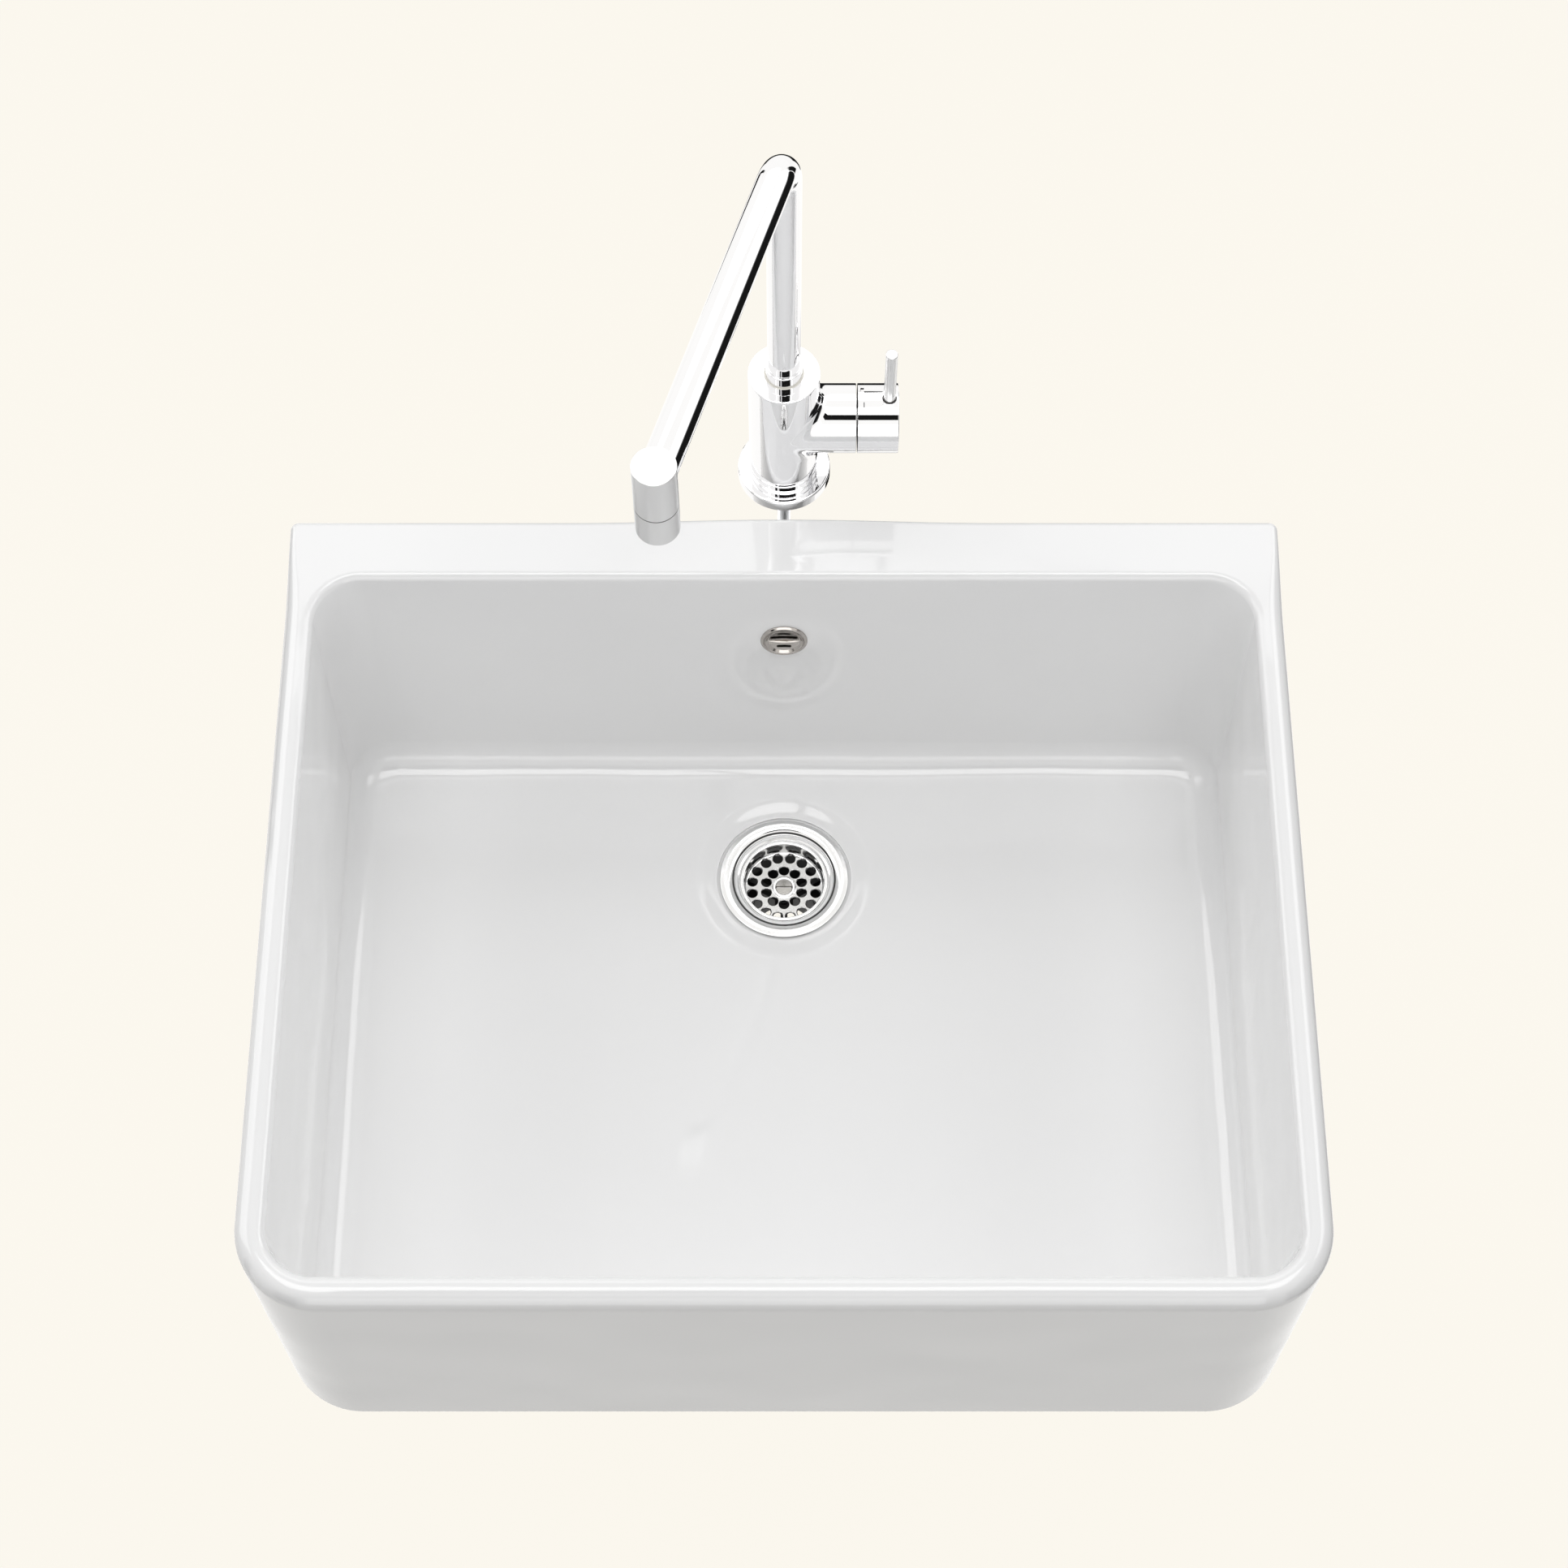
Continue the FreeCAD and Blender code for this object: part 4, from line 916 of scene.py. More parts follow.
    def _sunk(self, place: Vector, drop: float) -> Vector:
        """Where a point of the mouth's plan is on the leaning walls, further down."""
        corner = self.bowl_corner
        across = clamp(place.x / (self.bowl_half - corner), -1.0)
        first, last = self.bowl_front + corner, self.bowl_back - corner
        along = clamp((place.y - first) / (last - first))
        fore, rear = (math.tan(math.radians(a)) for a in (self.front_lean, self.rear_lean))
        return place + Vector((-across * drop * math.tan(math.radians(self.side_lean)),
                               drop * ((1 - along) * fore - along * rear), -place.z))

    def _inside(self, steps: int = 9, wall_steps: int = 9) -> list[list[Vector]]:
        """Rings of the mouth, the bowl's walls and the fillet down to the floor."""
        rings: list[list[Vector]] = [[] for _ in range(2 * steps + wall_steps + 1)]
        for place, normal in self.mouth:
            lean = self.lean(normal)
            small = self.mouth_round
            large = self.bowl_fillet + self.sway(place)
            wall_top = self.height - small + small * math.sin(lean)
            centre = (self.height - wall_top) * math.tan(lean) - small * math.cos(lean)
            column = []
            for step in range(steps):
                angle = math.pi / 2 + (lean - math.pi / 2) * step / (steps - 1)
                column.append((centre + small * math.cos(angle),
                               self.height - small + small * math.sin(angle)))
            wall_low = self.floor + large - large * math.sin(lean)
            for step in range(1, wall_steps):
                height = wall_top + (wall_low - wall_top) * step / wall_steps
                column.append(((self.height - height) * math.tan(lean), height))
            centre = (self.height - wall_low) * math.tan(lean) + large * math.cos(lean)
            for step in range(steps + 2):
                angle = lean + (math.pi / 2 - lean) * step / (steps + 1)
                column.append((centre - large * math.cos(angle),
                               self.floor + large - large * math.sin(angle)))
            for ring, (inset, height) in zip(rings, column):
                drop = self.height - height
                point = self._sunk(place, drop) - normal * (inset - drop * math.tan(lean))
                ring.append(point + UP * height)
        return rings

    def _recess(self, steps: int = 8) -> list[list[Vector]]:
        """Rings of the floor, the shallow recess and the hole for the waste."""
        edge, start = self.bowl[-1], self._drain_ring(self.recess + 2.0, self.floor)
        rings = [[a.lerp(b, k / 5) for a, b in zip(edge, start)] for k in range(1, 6)]
        for step in range(steps + 1):
            share = step / steps
            rings.append(self._drain_ring(self.recess + (self.seat - self.recess) * share,
                                          self.floor - self.recess_drop * smooth(share)))
        rings += [self._drain_ring(self.seat, self.floor - self.seat_drop),
                  self._drain_ring(self.drain_hole, self.floor - self.seat_drop)]
        return rings

    def _overflow_bore(self) -> Bench:
        """The bore behind the overflow's grille."""
        tool = Bench()
        tool.lathe([Corner(0, -40), Corner(self.overflow_hole, -40),
                    Corner(self.overflow_hole, 12), Corner(0, 12)], 64)
        return tool.place(Overflow().seat())


# ------------------------------------------------------------------ overflow
@dataclass
class Overflow:
    """The dished overflow grille in the leaning rear wall."""

    lean: float = ApronSink.rear_lean
    below_rim: float = 63.0
    ledge: float = ApronSink.ledge
    bulge: float = ApronSink.bulge
    rim: float = 14.5
    lip: float = 11.4
    proud: float = 1.7
    thick: float = 1.2
    spigot: float = 10.8
    slots: tuple[tuple[float, float, float], ...] = (
        (6.4, 8.0, 1.9), (2.6, 17.0, 2.6), (-6.2, 9.0, 2.2))
    sink: Place = box_of("sink_bowl")

    def seat(self) -> Matrix:
        """Carries a piece made about Z onto the wall, facing out of it."""
        lean = math.radians(self.lean)
        back = self.sink.high.y - self.bulge - self.ledge
        return (shift(0.0, back - self.below_rim * math.tan(lean),
                      self.sink.high.z - self.below_rim)
                @ Matrix.Rotation(math.radians(90.0 - self.lean), 4, "X"))

    def build(self, shop: Workshop) -> None:
        """Builds and dresses the grille and its sleeve."""
        bench = Bench()
        bench.lathe([
            Corner(0, -2.4), Corner(self.spigot - self.thick, -2.2),
            Corner(self.spigot - self.thick, -9), Corner(self.spigot, -9),
            Corner(self.spigot, 0.05), Corner(self.rim, 0.05, 0.1),
            Corner(self.rim, self.proud * 0.45, 0.5), Corner(self.rim - 1.3, self.proud, 0.8),
            Corner(self.lip, self.proud - 0.1, 0.5), Corner(self.lip - 1.6, 0.2, 1.2),
            Corner(0, -0.9)], 96)
        for height, width, tall in self.slots:
            bench.combine(self._slot(height, width, tall))
        bench.combine(self._bar(), "UNION")
        bench.place(self.seat())
        shop.piece(bench, Label("overflow_cover", "sink", Slot.OVERFLOW, ("overflow_grille",)))
        shop.dress(Slot.ACETAL, "overflow_sleeve")

    def _slot(self, height: float, width: float, tall: float) -> Bench:
        """A cutter for one slot."""
        tool = Bench()
        tool.block(Vector((-width / 2, height - tall / 2, -6.0)),
                   Vector((width / 2, height + tall / 2, 4.0)), tall * 0.3)
        return tool

    def _bar(self, steps: int = 12) -> Bench:
        """The raised curved bar across the grille, below its wide slot."""
        rings = []
        for step in range(-steps, steps + 1):
            share = step / steps
            centre = Vector((share * 10.6, -2.4 + 2.2 * share * share, -0.2))
            thick = 0.95 * math.sqrt(max(1 - (share * 0.86) ** 2, 0.0))
            rings.append([
                centre + Vector((0.0, thick * math.cos(a), thick * 0.9 * math.sin(a)))
                for a in (math.tau * k / 12 for k in range(12))])
        bar = Bench()
        bar.skin(rings, 2)
        return bar


# ------------------------------------------------------------------ waste
@dataclass
class Waste:
    """The pressed steel flange, the pierced strainer cup, its screw and the body below."""

    hole: float = 2.95
    flare: float = 0.6
    outer_holes: int = 16
    outer_circle: float = 20.7
    inner_holes: int = 10
    inner_circle: float = 11.9
    side_slots: int = 12
    slot_width: float = 9.6
    slot_height: float = 5.4
    throat: float = 28.9
    cup_floor: float = 26.0
    sheet: float = 1.4
    skirt: float = 29.4
    skirt_bore: float = 27.2
    cup_rim: float = 27.9
    screw_head: float = 5.2
    screw_shank: float = 2.95
    outlet: float = 23.9
    funnel: float = 22.0
    thread_pitch: float = 2.309
    thread_depth: float = 1.1
    flange: Place = box_of("waste_flange")
    cup: Place = box_of("strainer_cup")
    screw: Place = box_of("strainer_screw")
    body: Place = box_of("waste_body")

    def build(self, shop: Workshop) -> None:
        """Builds and dresses the whole waste."""
        self._flange(shop)
        self._cup(shop)
        self._screw(shop)
        self._body(shop)
        shop.dress(Slot.RUBBER, "flange_gasket", "lower_gasket")

    def _seat(self) -> Matrix:
        """Carries a piece made about Z onto the waste's axis."""
        return Matrix.Translation(self.flange.axis)

    def _flange(self, shop: Workshop) -> None:
        """The flat lip, the dished throat and the skirt."""
        top, low, rim = self.flange.high.z, self.flange.low.z, self.flange.size.x / 2
        throat, under = self.throat, top - self.sheet
        shop.turned([
            Corner(rim, under, 0.1), Corner(rim, top - 0.35, 0.5),
            Corner(rim - 2.6, top, 3.0), Corner(rim - 6.2, top - 0.3, 6.0),
            Corner(rim - 9.6, top - 2.6, 5.0), Corner(throat, top - 4.0, 0.6),
            Corner(throat - 0.9, top - 4.9, 0.5), Corner(throat - 0.9, top - 5.7),
            Corner(self.skirt_bore, top - 5.7), Corner(self.skirt_bore, low),
            Corner(self.skirt, low), Corner(self.skirt, top - 5.4, 0.8),
            Corner(rim - 9.4, under - 0.6, 2.0),
            Corner(rim - 8.0, under, 1.0)],
            # The skirt and throat below the cup are painted near-black as painted shade inside the
            # hole.
            self._seat(), Label("waste_rim", "sink", Slot.WASTE, ("waste_flange",),
                                patch=Patch.STAINED, patched=lambda spot: spot.z < top - 6.5),
            160, 7)

    def _cup(self, shop: Workshop) -> None:
        """The pierced cup."""
        top, low = self.cup.high.z, self.cup.low.z
        plate, ledge = low + self.sheet, top - self.sheet
        wall, base = self.cup_floor + 0.8, self.cup_floor
        head = self.screw_head
        bench = Bench()
        bench.lathe([
            Corner(base, low, 1.2), Corner(wall, ledge, 0.4), Corner(self.cup_rim, ledge),
            Corner(self.cup_rim, top, 0.35), Corner(wall - 1.0, top, 0.6),
            Corner(base - 1.1, plate, 1.6), Corner(head + 2.6, plate, 0.8),
            Corner(head + 1.7, plate + 0.8, 0.45), Corner(head + 0.5, plate + 0.8, 0.3),
            Corner(head, plate + 0.2, 0.2), Corner(3.4, low)], 192, 5)
        for count, circle, first in ((self.outer_holes, self.outer_circle, 180 / self.outer_holes),
                                     (self.inner_holes, self.inner_circle, 90.0)):
            bench.combine(self._holes(count, circle, first, plate, low))
        bench.combine(self._side_slots(plate))
        bench.place(self._seat())
        # The plate's flat faces get a darker satin steel: real grain, plus painted shade.
        shop.piece(bench, Label("strainer", "sink", Slot.WASTE, ("strainer_cup",),
                                patch=Patch.SATIN_PLATE,
                                patched=lambda spot: abs(spot.z - plate) < 0.03))

    def _holes(self, count: int, circle: float, first: float, plate: float,
               low: float) -> Bench:
        """Cutters for one circle of flared holes."""
        tool = Bench()
        radius, flare = self.hole, self.flare
        tool.lathe([Corner(0, low - 1), Corner(radius, low - 1),
                    Corner(radius, plate - flare * 1.6, flare * 1.6),
                    Corner(radius + flare, plate + 0.02), Corner(radius + flare, plate + 0.5),
                    Corner(0, plate + 0.5)], 40, 4)
        tool.copies([turn_z(first + 360.0 * k / count) @ shift(circle) for k in range(count)])
        return tool

    def _side_slots(self, plate: float) -> Bench:
        """Cutters for the slots in the cup's wall."""
        tool = Bench()
        low = plate + 1.6
        tool.block(Vector((self.cup_floor - 4, -self.slot_width / 2, low)),
                   Vector((self.cup_floor + 4, self.slot_width / 2, low + self.slot_height)), 1.9)
        step = 360.0 / self.side_slots
        tool.copies([turn_z(step * (k + 0.5)) for k in range(self.side_slots)])
        return tool

    def _screw(self, shop: Workshop) -> None:
        """The slotted screw with its shallow domed head."""
        top, low = self.screw.high.z, self.screw.low.z
        head, shank = self.screw_head, self.screw_shank
        bench = Bench()
        bench.lathe([
            Corner(0, low), Corner(shank - 0.6, low), Corner(shank, low + 0.6),
            Corner(shank, top - 2.3), Corner(head - 0.15, top - 0.9),
            Corner(head - 0.1, top - 0.45, 0.5), Corner(0, top)], 64)
        slot = Bench()
        slot.block(Vector((-8, -0.6, top - 1.2)), Vector((8, 0.6, top + 2)))
        bench.combine(slot)
        bench.place(self._seat())
        shop.piece(bench, Label("centre_screw", "sink", Slot.WASTE, ("strainer_screw",),
                                patch=Patch.TURNED))

    def _body(self, shop: Workshop) -> None:
        """The funnel below the sink, with its spider and threaded outlet."""
        top, low, rim = self.body.high.z, self.body.low.z, self.body.size.x / 2
        flange, outlet = Place.of("lower_gasket").low.z, self.outlet
        neck, core = flange - self.funnel, outlet - self.thread_depth
        bench = Bench()
        bench.lathe([
            Corner(27.4, top), Corner(self.skirt, top), Corner(self.skirt, flange),
            Corner(rim, flange, 0.4),
            Corner(rim, flange - 5, 0.8), Corner(32.4, flange - 5, 2.0),
            Corner(30.4, flange - 10, 2.5), Corner(outlet + 0.6, neck + 1, 3.0),
            Corner(outlet + 0.6, neck - 1, 0.3), Corner(core, neck - 1.6, 0.3),
            Corner(core, low, 0.6), Corner(core - 2.6, low), Corner(core - 2.8, neck, 3.0),
            Corner(27.4, flange - 9, 3.0)], 128)
        spider = Bench()
        spider.block(Vector((2.0, -2.2, flange - 8)), Vector((28.4, 2.2, flange)), 0.5)
        spider.copies([turn_z(angle) for angle in (-90.0, 30.0, 150.0)])
        boss = Bench()
        boss.lathe([Corner(0, flange - 16), Corner(6, flange - 16, 0.8), Corner(6, 2.0, 0.8),
                    Corner(0, 2.0)], 48)
        spider.combine(boss, "UNION")
        bench.combine(spider, "UNION")
        bench.place(self._seat())

        def inside(spot: Vector) -> bool:
            """Whether a place is on the funnel's inner side, which is painted near-black as
            painted shade.
            """
            share = clamp((spot.z - neck) / (flange - 9 - neck))
            wall = core - 2.1 + (28.0 - core + 2.1) * share
            return math.hypot(spot.x, spot.y - self.flange.centre.y) < wall and spot.z > low + 1

        # The inner side is painted near-black as painted shade inside the waste.
        shop.piece(bench, Label("waste_funnel", "sink", Slot.POLYPROPYLENE, ("waste_body",),
                                patch=Patch.STAINED, patched=inside))
        thread = helix(core - 0.1, self.thread_depth + 0.1, self.thread_pitch,
                       low + 1.2, neck - 2.5, 72)
        thread.place(self._seat())
        shop.piece(thread, Label("outlet_thread", "sink", Slot.POLYPROPYLENE))


def helix(core: float, depth: float, pitch: float, low: float, high: float,
          segments: int) -> Bench:
    """A screw thread as one ridge that winds up a cylinder.

    Args:
        core: Radius that the ridge stands on.
        depth: Height of the ridge.
        pitch: Climb in one turn.
        low: Where it starts.
        high: Where it ends.
        segments: Edges in one turn.

    Returns:
        A bench that holds the thread.
    """
    turns = max(int((high - low) / pitch) - 1, 1)
    bench = Bench()
    bench.spin(bench.ring([
        Vector((core, 0.0, low)), Vector((core + depth, 0.0, low + pitch * 0.4)),
        Vector((core + depth, 0.0, low + pitch * 0.5)), Vector((core, 0.0, low + pitch * 0.9))]),
        segments, pitch)
    bench.copies([shift(z=pitch * turn) for turn in range(turns)])
    bmesh.ops.remove_doubles(bench.mesh, verts=bench.mesh.verts, dist=1e-3)
    bmesh.ops.holes_fill(bench.mesh, edges=bench.mesh.edges, sides=4)
    return bench


# ------------------------------------------------------------------ tap body
@dataclass
class MixerBody:
    """The polished cast body: an upright barrel that flows into the side neck."""

    barrel: float = 21.0
    neck: float = 20.6
    neck_bore: float = 18.6
    flow: float = 7.0
    edge: float = 0.45
    seat_bore: float = 11.75
    shank: float = 16.4
    foot_seam: float = 1.1
    bore_depth: float = 9.0
    top_steps: int = 72
    side_steps: int = 40
    field_steps: int = 18
    body: Place = box_of("tap_body")
    foot: Place = box_of("base_flange")
    handle: Place = box_of("handle_cap")

    @property
    def axis(self) -> Vector:
        """The foot of the tap's upright axis."""
        return Vector((0.0, self.foot.centre.y, 0.0))

    @property
    def valve(self) -> float:
        """Height of the valve's axis."""
        return self.handle.centre.z

    def build(self, shop: Workshop) -> None:
        """Builds and dresses the body, its foot and its small parts."""
        self._body(shop)
        self._foot(shop)
        shop.dress(Slot.RUBBER, "base_gasket")
        shop.dress(Slot.ACETAL, "spout_bush")
        shop.dress(Slot.CHROME, "lock_screw")

    def _angles(self) -> list[float]:
        """Directions round the neck, close together towards the barrel's ends."""
        high, low = self.body.high.z - self.valve, self.valve - self.foot.high.z - self.foot_seam
        side = math.pi * self.barrel
        upper, lower = math.atan2(high, side), math.atan2(low, side)
        spans = [(upper, math.pi - upper, self.top_steps),
                 (math.pi - upper, math.pi + lower, self.side_steps),
                 (math.pi + lower, math.tau - lower, self.top_steps),
                 (-lower, upper, self.side_steps)]
        return [a + (b - a) * k / steps for a, b, steps in spans for k in range(steps)]

    def _edge_points(self) -> list[tuple[float, float]]:
        """Where each direction ends on the unrolled barrel: arc length and height."""
        high, low = self.body.high.z - self.edge, self.foot.high.z + self.foot_seam
        side = math.pi * self.barrel
        corners = [(side, high), (-side, high), (-side, low), (side, low)]
        steps = [self.top_steps, self.side_steps, self.top_steps, self.side_steps]
        points = []
        for index, count in enumerate(steps):
            (u0, z0), (u1, z1) = corners[index], corners[(index + 1) % 4]
            points += [(u0 + (u1 - u0) * k / count, z0 + (z1 - z0) * k / count)
                       for k in range(count)]
        return points

    def _on_barrel(self, along: float, height: float) -> Vector:
        """A point of the unrolled barrel, in place. Arc length 0 faces the neck."""
        angle = along / self.barrel
        return self.axis + Vector((self.barrel * math.cos(angle),
                                   self.barrel * math.sin(angle), height))

    def _on_neck(self, x: float, radius: float) -> list[Vector]:
        """A ring about the neck's axis."""
        return [self.axis + Vector((x, radius * math.cos(a), self.valve + radius * math.sin(a)))
                for a in self._angles()]

    def _seam(self, angle: float) -> tuple[Vector, tuple[float, float]]:
        """Where the neck meets the barrel, in place and unrolled."""
        y, z = self.neck * math.cos(angle), self.neck * math.sin(angle)
        x = math.sqrt(self.barrel ** 2 - y ** 2)
        return (self.axis + Vector((x, y, self.valve + z)),
                (self.barrel * math.atan2(y, x), self.valve + z))

    def _flow_rings(self, steps: int = 12) -> list[list[Vector]]:
        """Rings of the soft flow from the neck onto the barrel."""
        rings: list[list[Vector]] = [[] for _ in range(steps + 1)]
        for angle in self._angles():
            seam, unrolled = self._seam(angle)
            start = seam + Vector((self.flow, 0.0, 0.0))
            end = self._on_barrel(*self._flow_end(unrolled))
            for step, ring in enumerate(rings):
                share = step / steps
                ring.append(start.lerp(seam, share).lerp(seam.lerp(end, share), share))
        return rings

    def _flow_end(self, unrolled: tuple[float, float]) -> tuple[float, float]:
        """Where the flow ends on the unrolled barrel."""
        away = Vector((unrolled[0], unrolled[1] - self.valve)).normalized() * self.flow
        return unrolled[0] + away.x, unrolled[1] + away.y

    def _body(self, shop: Workshop) -> None:
        """The barrel and the neck as one skin."""
        end = self.body.high.x
        neck = [(end - self.bore_depth, self.neck_bore), (end, self.neck_bore),
                (end, self.neck - 0.35), (end - 0.12, self.neck - 0.1), (end - 0.35, self.neck),
                (end - 1.2, self.neck)]
        starts = [self._flow_end(self._seam(angle)[1]) for angle in self._angles()]
        shares = [step / self.field_steps for step in range(1, self.field_steps + 1)]
        bench = Bench()
        bench.skin([
            *(self._on_neck(x, radius) for x, radius in neck), *self._flow_rings(),
            *([self._on_barrel(a[0] + (b[0] - a[0]) * share, a[1] + (b[1] - a[1]) * share)
               for a, b in zip(starts, self._edge_points())] for share in shares)], 1)
        bmesh.ops.remove_doubles(bench.mesh, verts=bench.mesh.verts, dist=1e-3)
        top, low = self.body.high.z, self.foot.high.z
        self._finish_end(bench, top - self.edge, [
            (self.barrel - 0.13, top - 0.13), (self.barrel - self.edge, top),
            (self.barrel - 1.2, top), (self.seat_bore, top),
            (self.seat_bore, top - self.bore_depth)])
        self._finish_end(bench, low + self.foot_seam, [
            (self.barrel - 0.25, low + 0.55), (self.barrel - 0.8, low + 0.3),
            (self.shank, low + 0.3), (self.shank, self.body.low.z)])
        # The neck's end face, in the seam against the handle, is painted near-black as painted
        # shade in the gap.
        shop.piece(bench, Label("mixer_body", "sink", Slot.CHROME, ("tap_body",),
                                patch=Patch.UNPLATED,
                                patched=lambda spot: spot.x > end - 0.11))

    def _finish_end(self, bench: Bench, height: float,
                    profile: Sequence[tuple[float, float]]) -> None:
        """Turns an open end of the barrel inwards and closes it.

        Args:
            bench: The body's bench.
            height: Where the open end is.
            profile: Radius and height of each further ring.
        """
        edges = [e for e in bench.mesh.edges if e.is_boundary
                 and all(abs(v.co.z - height) < 0.01 for v in e.verts)]
        for radius, level in profile:
            made = bmesh.ops.extrude_edge_only(bench.mesh, edges=edges)["geom"]
            for vert in verts_of(made):
                away = Vector((vert.co.x, vert.co.y - self.axis.y, 0.0)).normalized() * radius
                vert.co = self.axis + away + UP * level
            edges = edges_of(made)
        bmesh.ops.holes_fill(bench.mesh, edges=edges, sides=0)

    def _foot(self, shop: Workshop) -> None:
        """The round foot plate and the plinth ring with its groove."""
        low, top, rim = self.foot.low.z, self.foot.high.z, self.foot.size.x / 2
        shoulder, plinth, bore = low + 8.0, self.barrel - 0.3, self.shank + 0.15
        shop.turned([
            Corner(bore, low), Corner(rim, low, 0.3), Corner(rim, shoulder, 1.5),
            Corner(plinth + 0.05, shoulder, 0.25), Corner(plinth, shoulder + 0.9, 0.2),
            Corner(plinth - 0.45, shoulder + 1.1), Corner(plinth - 0.45, shoulder + 1.6),
            Corner(plinth, shoulder + 1.8, 0.2), Corner(plinth, top, 0.5), Corner(bore, top)],
            Matrix.Translation(self.axis),
            Label("foot_plate", "sink", Slot.CHROME, ("base_flange",)), 160, 6)


# ------------------------------------------------------------------ spout
@dataclass
class Spout:
    """The bent pipe with its collar, nozzle and aerator."""

    pipe: float = 9.7
    bore: float = 8.2
    bend: float = 18.0
    collar: float = 10.7
    arm_inset: float = 5.0
    bore_depth: float = 6.0
    segments: int = 72
    bend_steps: int = 28
    tube: Place = box_of("spout_pipe")
    trim: Place = box_of("spout_collar")
    tip: Place = box_of("nozzle")
    sleeve: Place = box_of("aerator_housing")

    def __post_init__(self) -> None:
        """Works out the tap's axis and the way that the arm points."""
        self.root = self.trim.axis
        flat = self.tip.axis - self.root
        self.reach, self.along = flat.length, flat.normalized()
        self.arm = self.tube.high.z - self.pipe

    def build(self, shop: Workshop) -> None:
        """Builds and dresses the spout."""
        self._pipe(shop)
        self._collar(shop)
        self._nozzle(shop)
        self._aerator(shop)
        shop.dress(Slot.BRASS, "spout_foot")
        shop.dress(Slot.RUBBER, "spout_o_rings", "aerator_washer")
        shop.dress(Slot.CARTRIDGE, "aerator_insert")

    def _pipe(self, shop: Workshop) -> None:
        """The pipe as one skin: up, round the bend and out to the nozzle."""
        foot = self.root + UP * self.tube.low.z
        rings = [self._ring(foot + UP * self.bore_depth, self.along, self.bore),
                 self._ring(foot, self.along, self.bore), self._ring(foot, self.along, self.pipe)]
        pivot = self.root + self.along * self.bend + UP * (self.arm - self.bend)
        for step in range(self.bend_steps + 1):
            angle = math.pi / 2 * step / self.bend_steps
            outward = self.along * math.cos(angle) - UP * math.sin(angle)
            rings.append(self._ring(pivot - outward * self.bend, outward, self.pipe))
        end = self.root + self.along * (self.reach - self.arm_inset) + UP * self.arm
        bench = Bench()
        bench.skin([*rings, self._ring(end, -UP, self.pipe)], 2)
        shop.piece(bench, Label("bent_pipe", "spout", Slot.CHROME, ("spout_pipe",)))

    def _ring(self, centre: Vector, outward: Vector, radius: float) -> list[Vector]:
        """A circle in the plane of the arm's side and a given way outward."""
        side = Vector((-self.along.y, self.along.x, 0.0))
        return [centre + outward * (radius * math.cos(a)) + side * (radius * math.sin(a))
                for a in (math.tau * k / self.segments for k in range(self.segments))]

    def _collar(self, shop: Workshop) -> None:
        """The trim ring at the foot of the pipe."""
        low, top, bore = self.trim.low.z, self.trim.high.z, self.pipe + 0.03
        shop.turned([Corner(bore, low), Corner(self.collar, low, 0.25),
                     Corner(self.collar, top, 0.5), Corner(bore, top, 0.1)],
                    Matrix.Translation(self.root),
                    Label("trim_collar", "spout", Slot.CHROME, ("spout_collar",)))

    def _nozzle(self, shop: Workshop) -> None:
        """The upright end piece, open below for the aerator."""
        low, top, rim = self.tip.low.z, self.tip.high.z, self.tip.size.x / 2
        shop.turned([
            Corner(0, low + 9), Corner(rim - 1.8, low + 9), Corner(rim - 1.8, low),
            Corner(rim, low, 0.25), Corner(rim, top, 0.45), Corner(0, top)],
            Matrix.Translation(self.tip.axis),
            # The nozzle's lower end face, in the seam over the aerator, is painted near-black as
            # painted shade in the gap.
            Label("spout_end", "spout", Slot.SATIN, ("nozzle",), patch=Patch.UNPLATED,
                  patched=lambda spot: spot.z < low + 0.22), 128, 6)

    def _aerator(self, shop: Workshop) -> None:
        """The aerator's sleeve, with a lip that holds the honeycomb."""
        low, top = self.sleeve.low.z, self.sleeve.high.z
        rim, seam = self.sleeve.size.x / 2, self.tip.low.z - 0.3
        shop.turned([
            Corner(7.1, low + 0.3, 0.2), Corner(7.7, low, 0.3), Corner(rim, low, 0.45),
            Corner(rim, seam, 0.25), Corner(rim - 1.9, seam), Corner(rim - 1.9, top),
            Corner(8.3, top), Corner(8.3, low + 1.4), Corner(7.1, low + 1.4)],
            Matrix.Translation(self.tip.axis),
            # The sleeve's top, inside the nozzle's seam, is painted near-black as painted shade.
            Label("aerator_sleeve", "spout", Slot.SATIN, ("aerator_housing",),
                  patch=Patch.UNPLATED, patched=lambda spot: spot.z > seam - 0.2), 128)


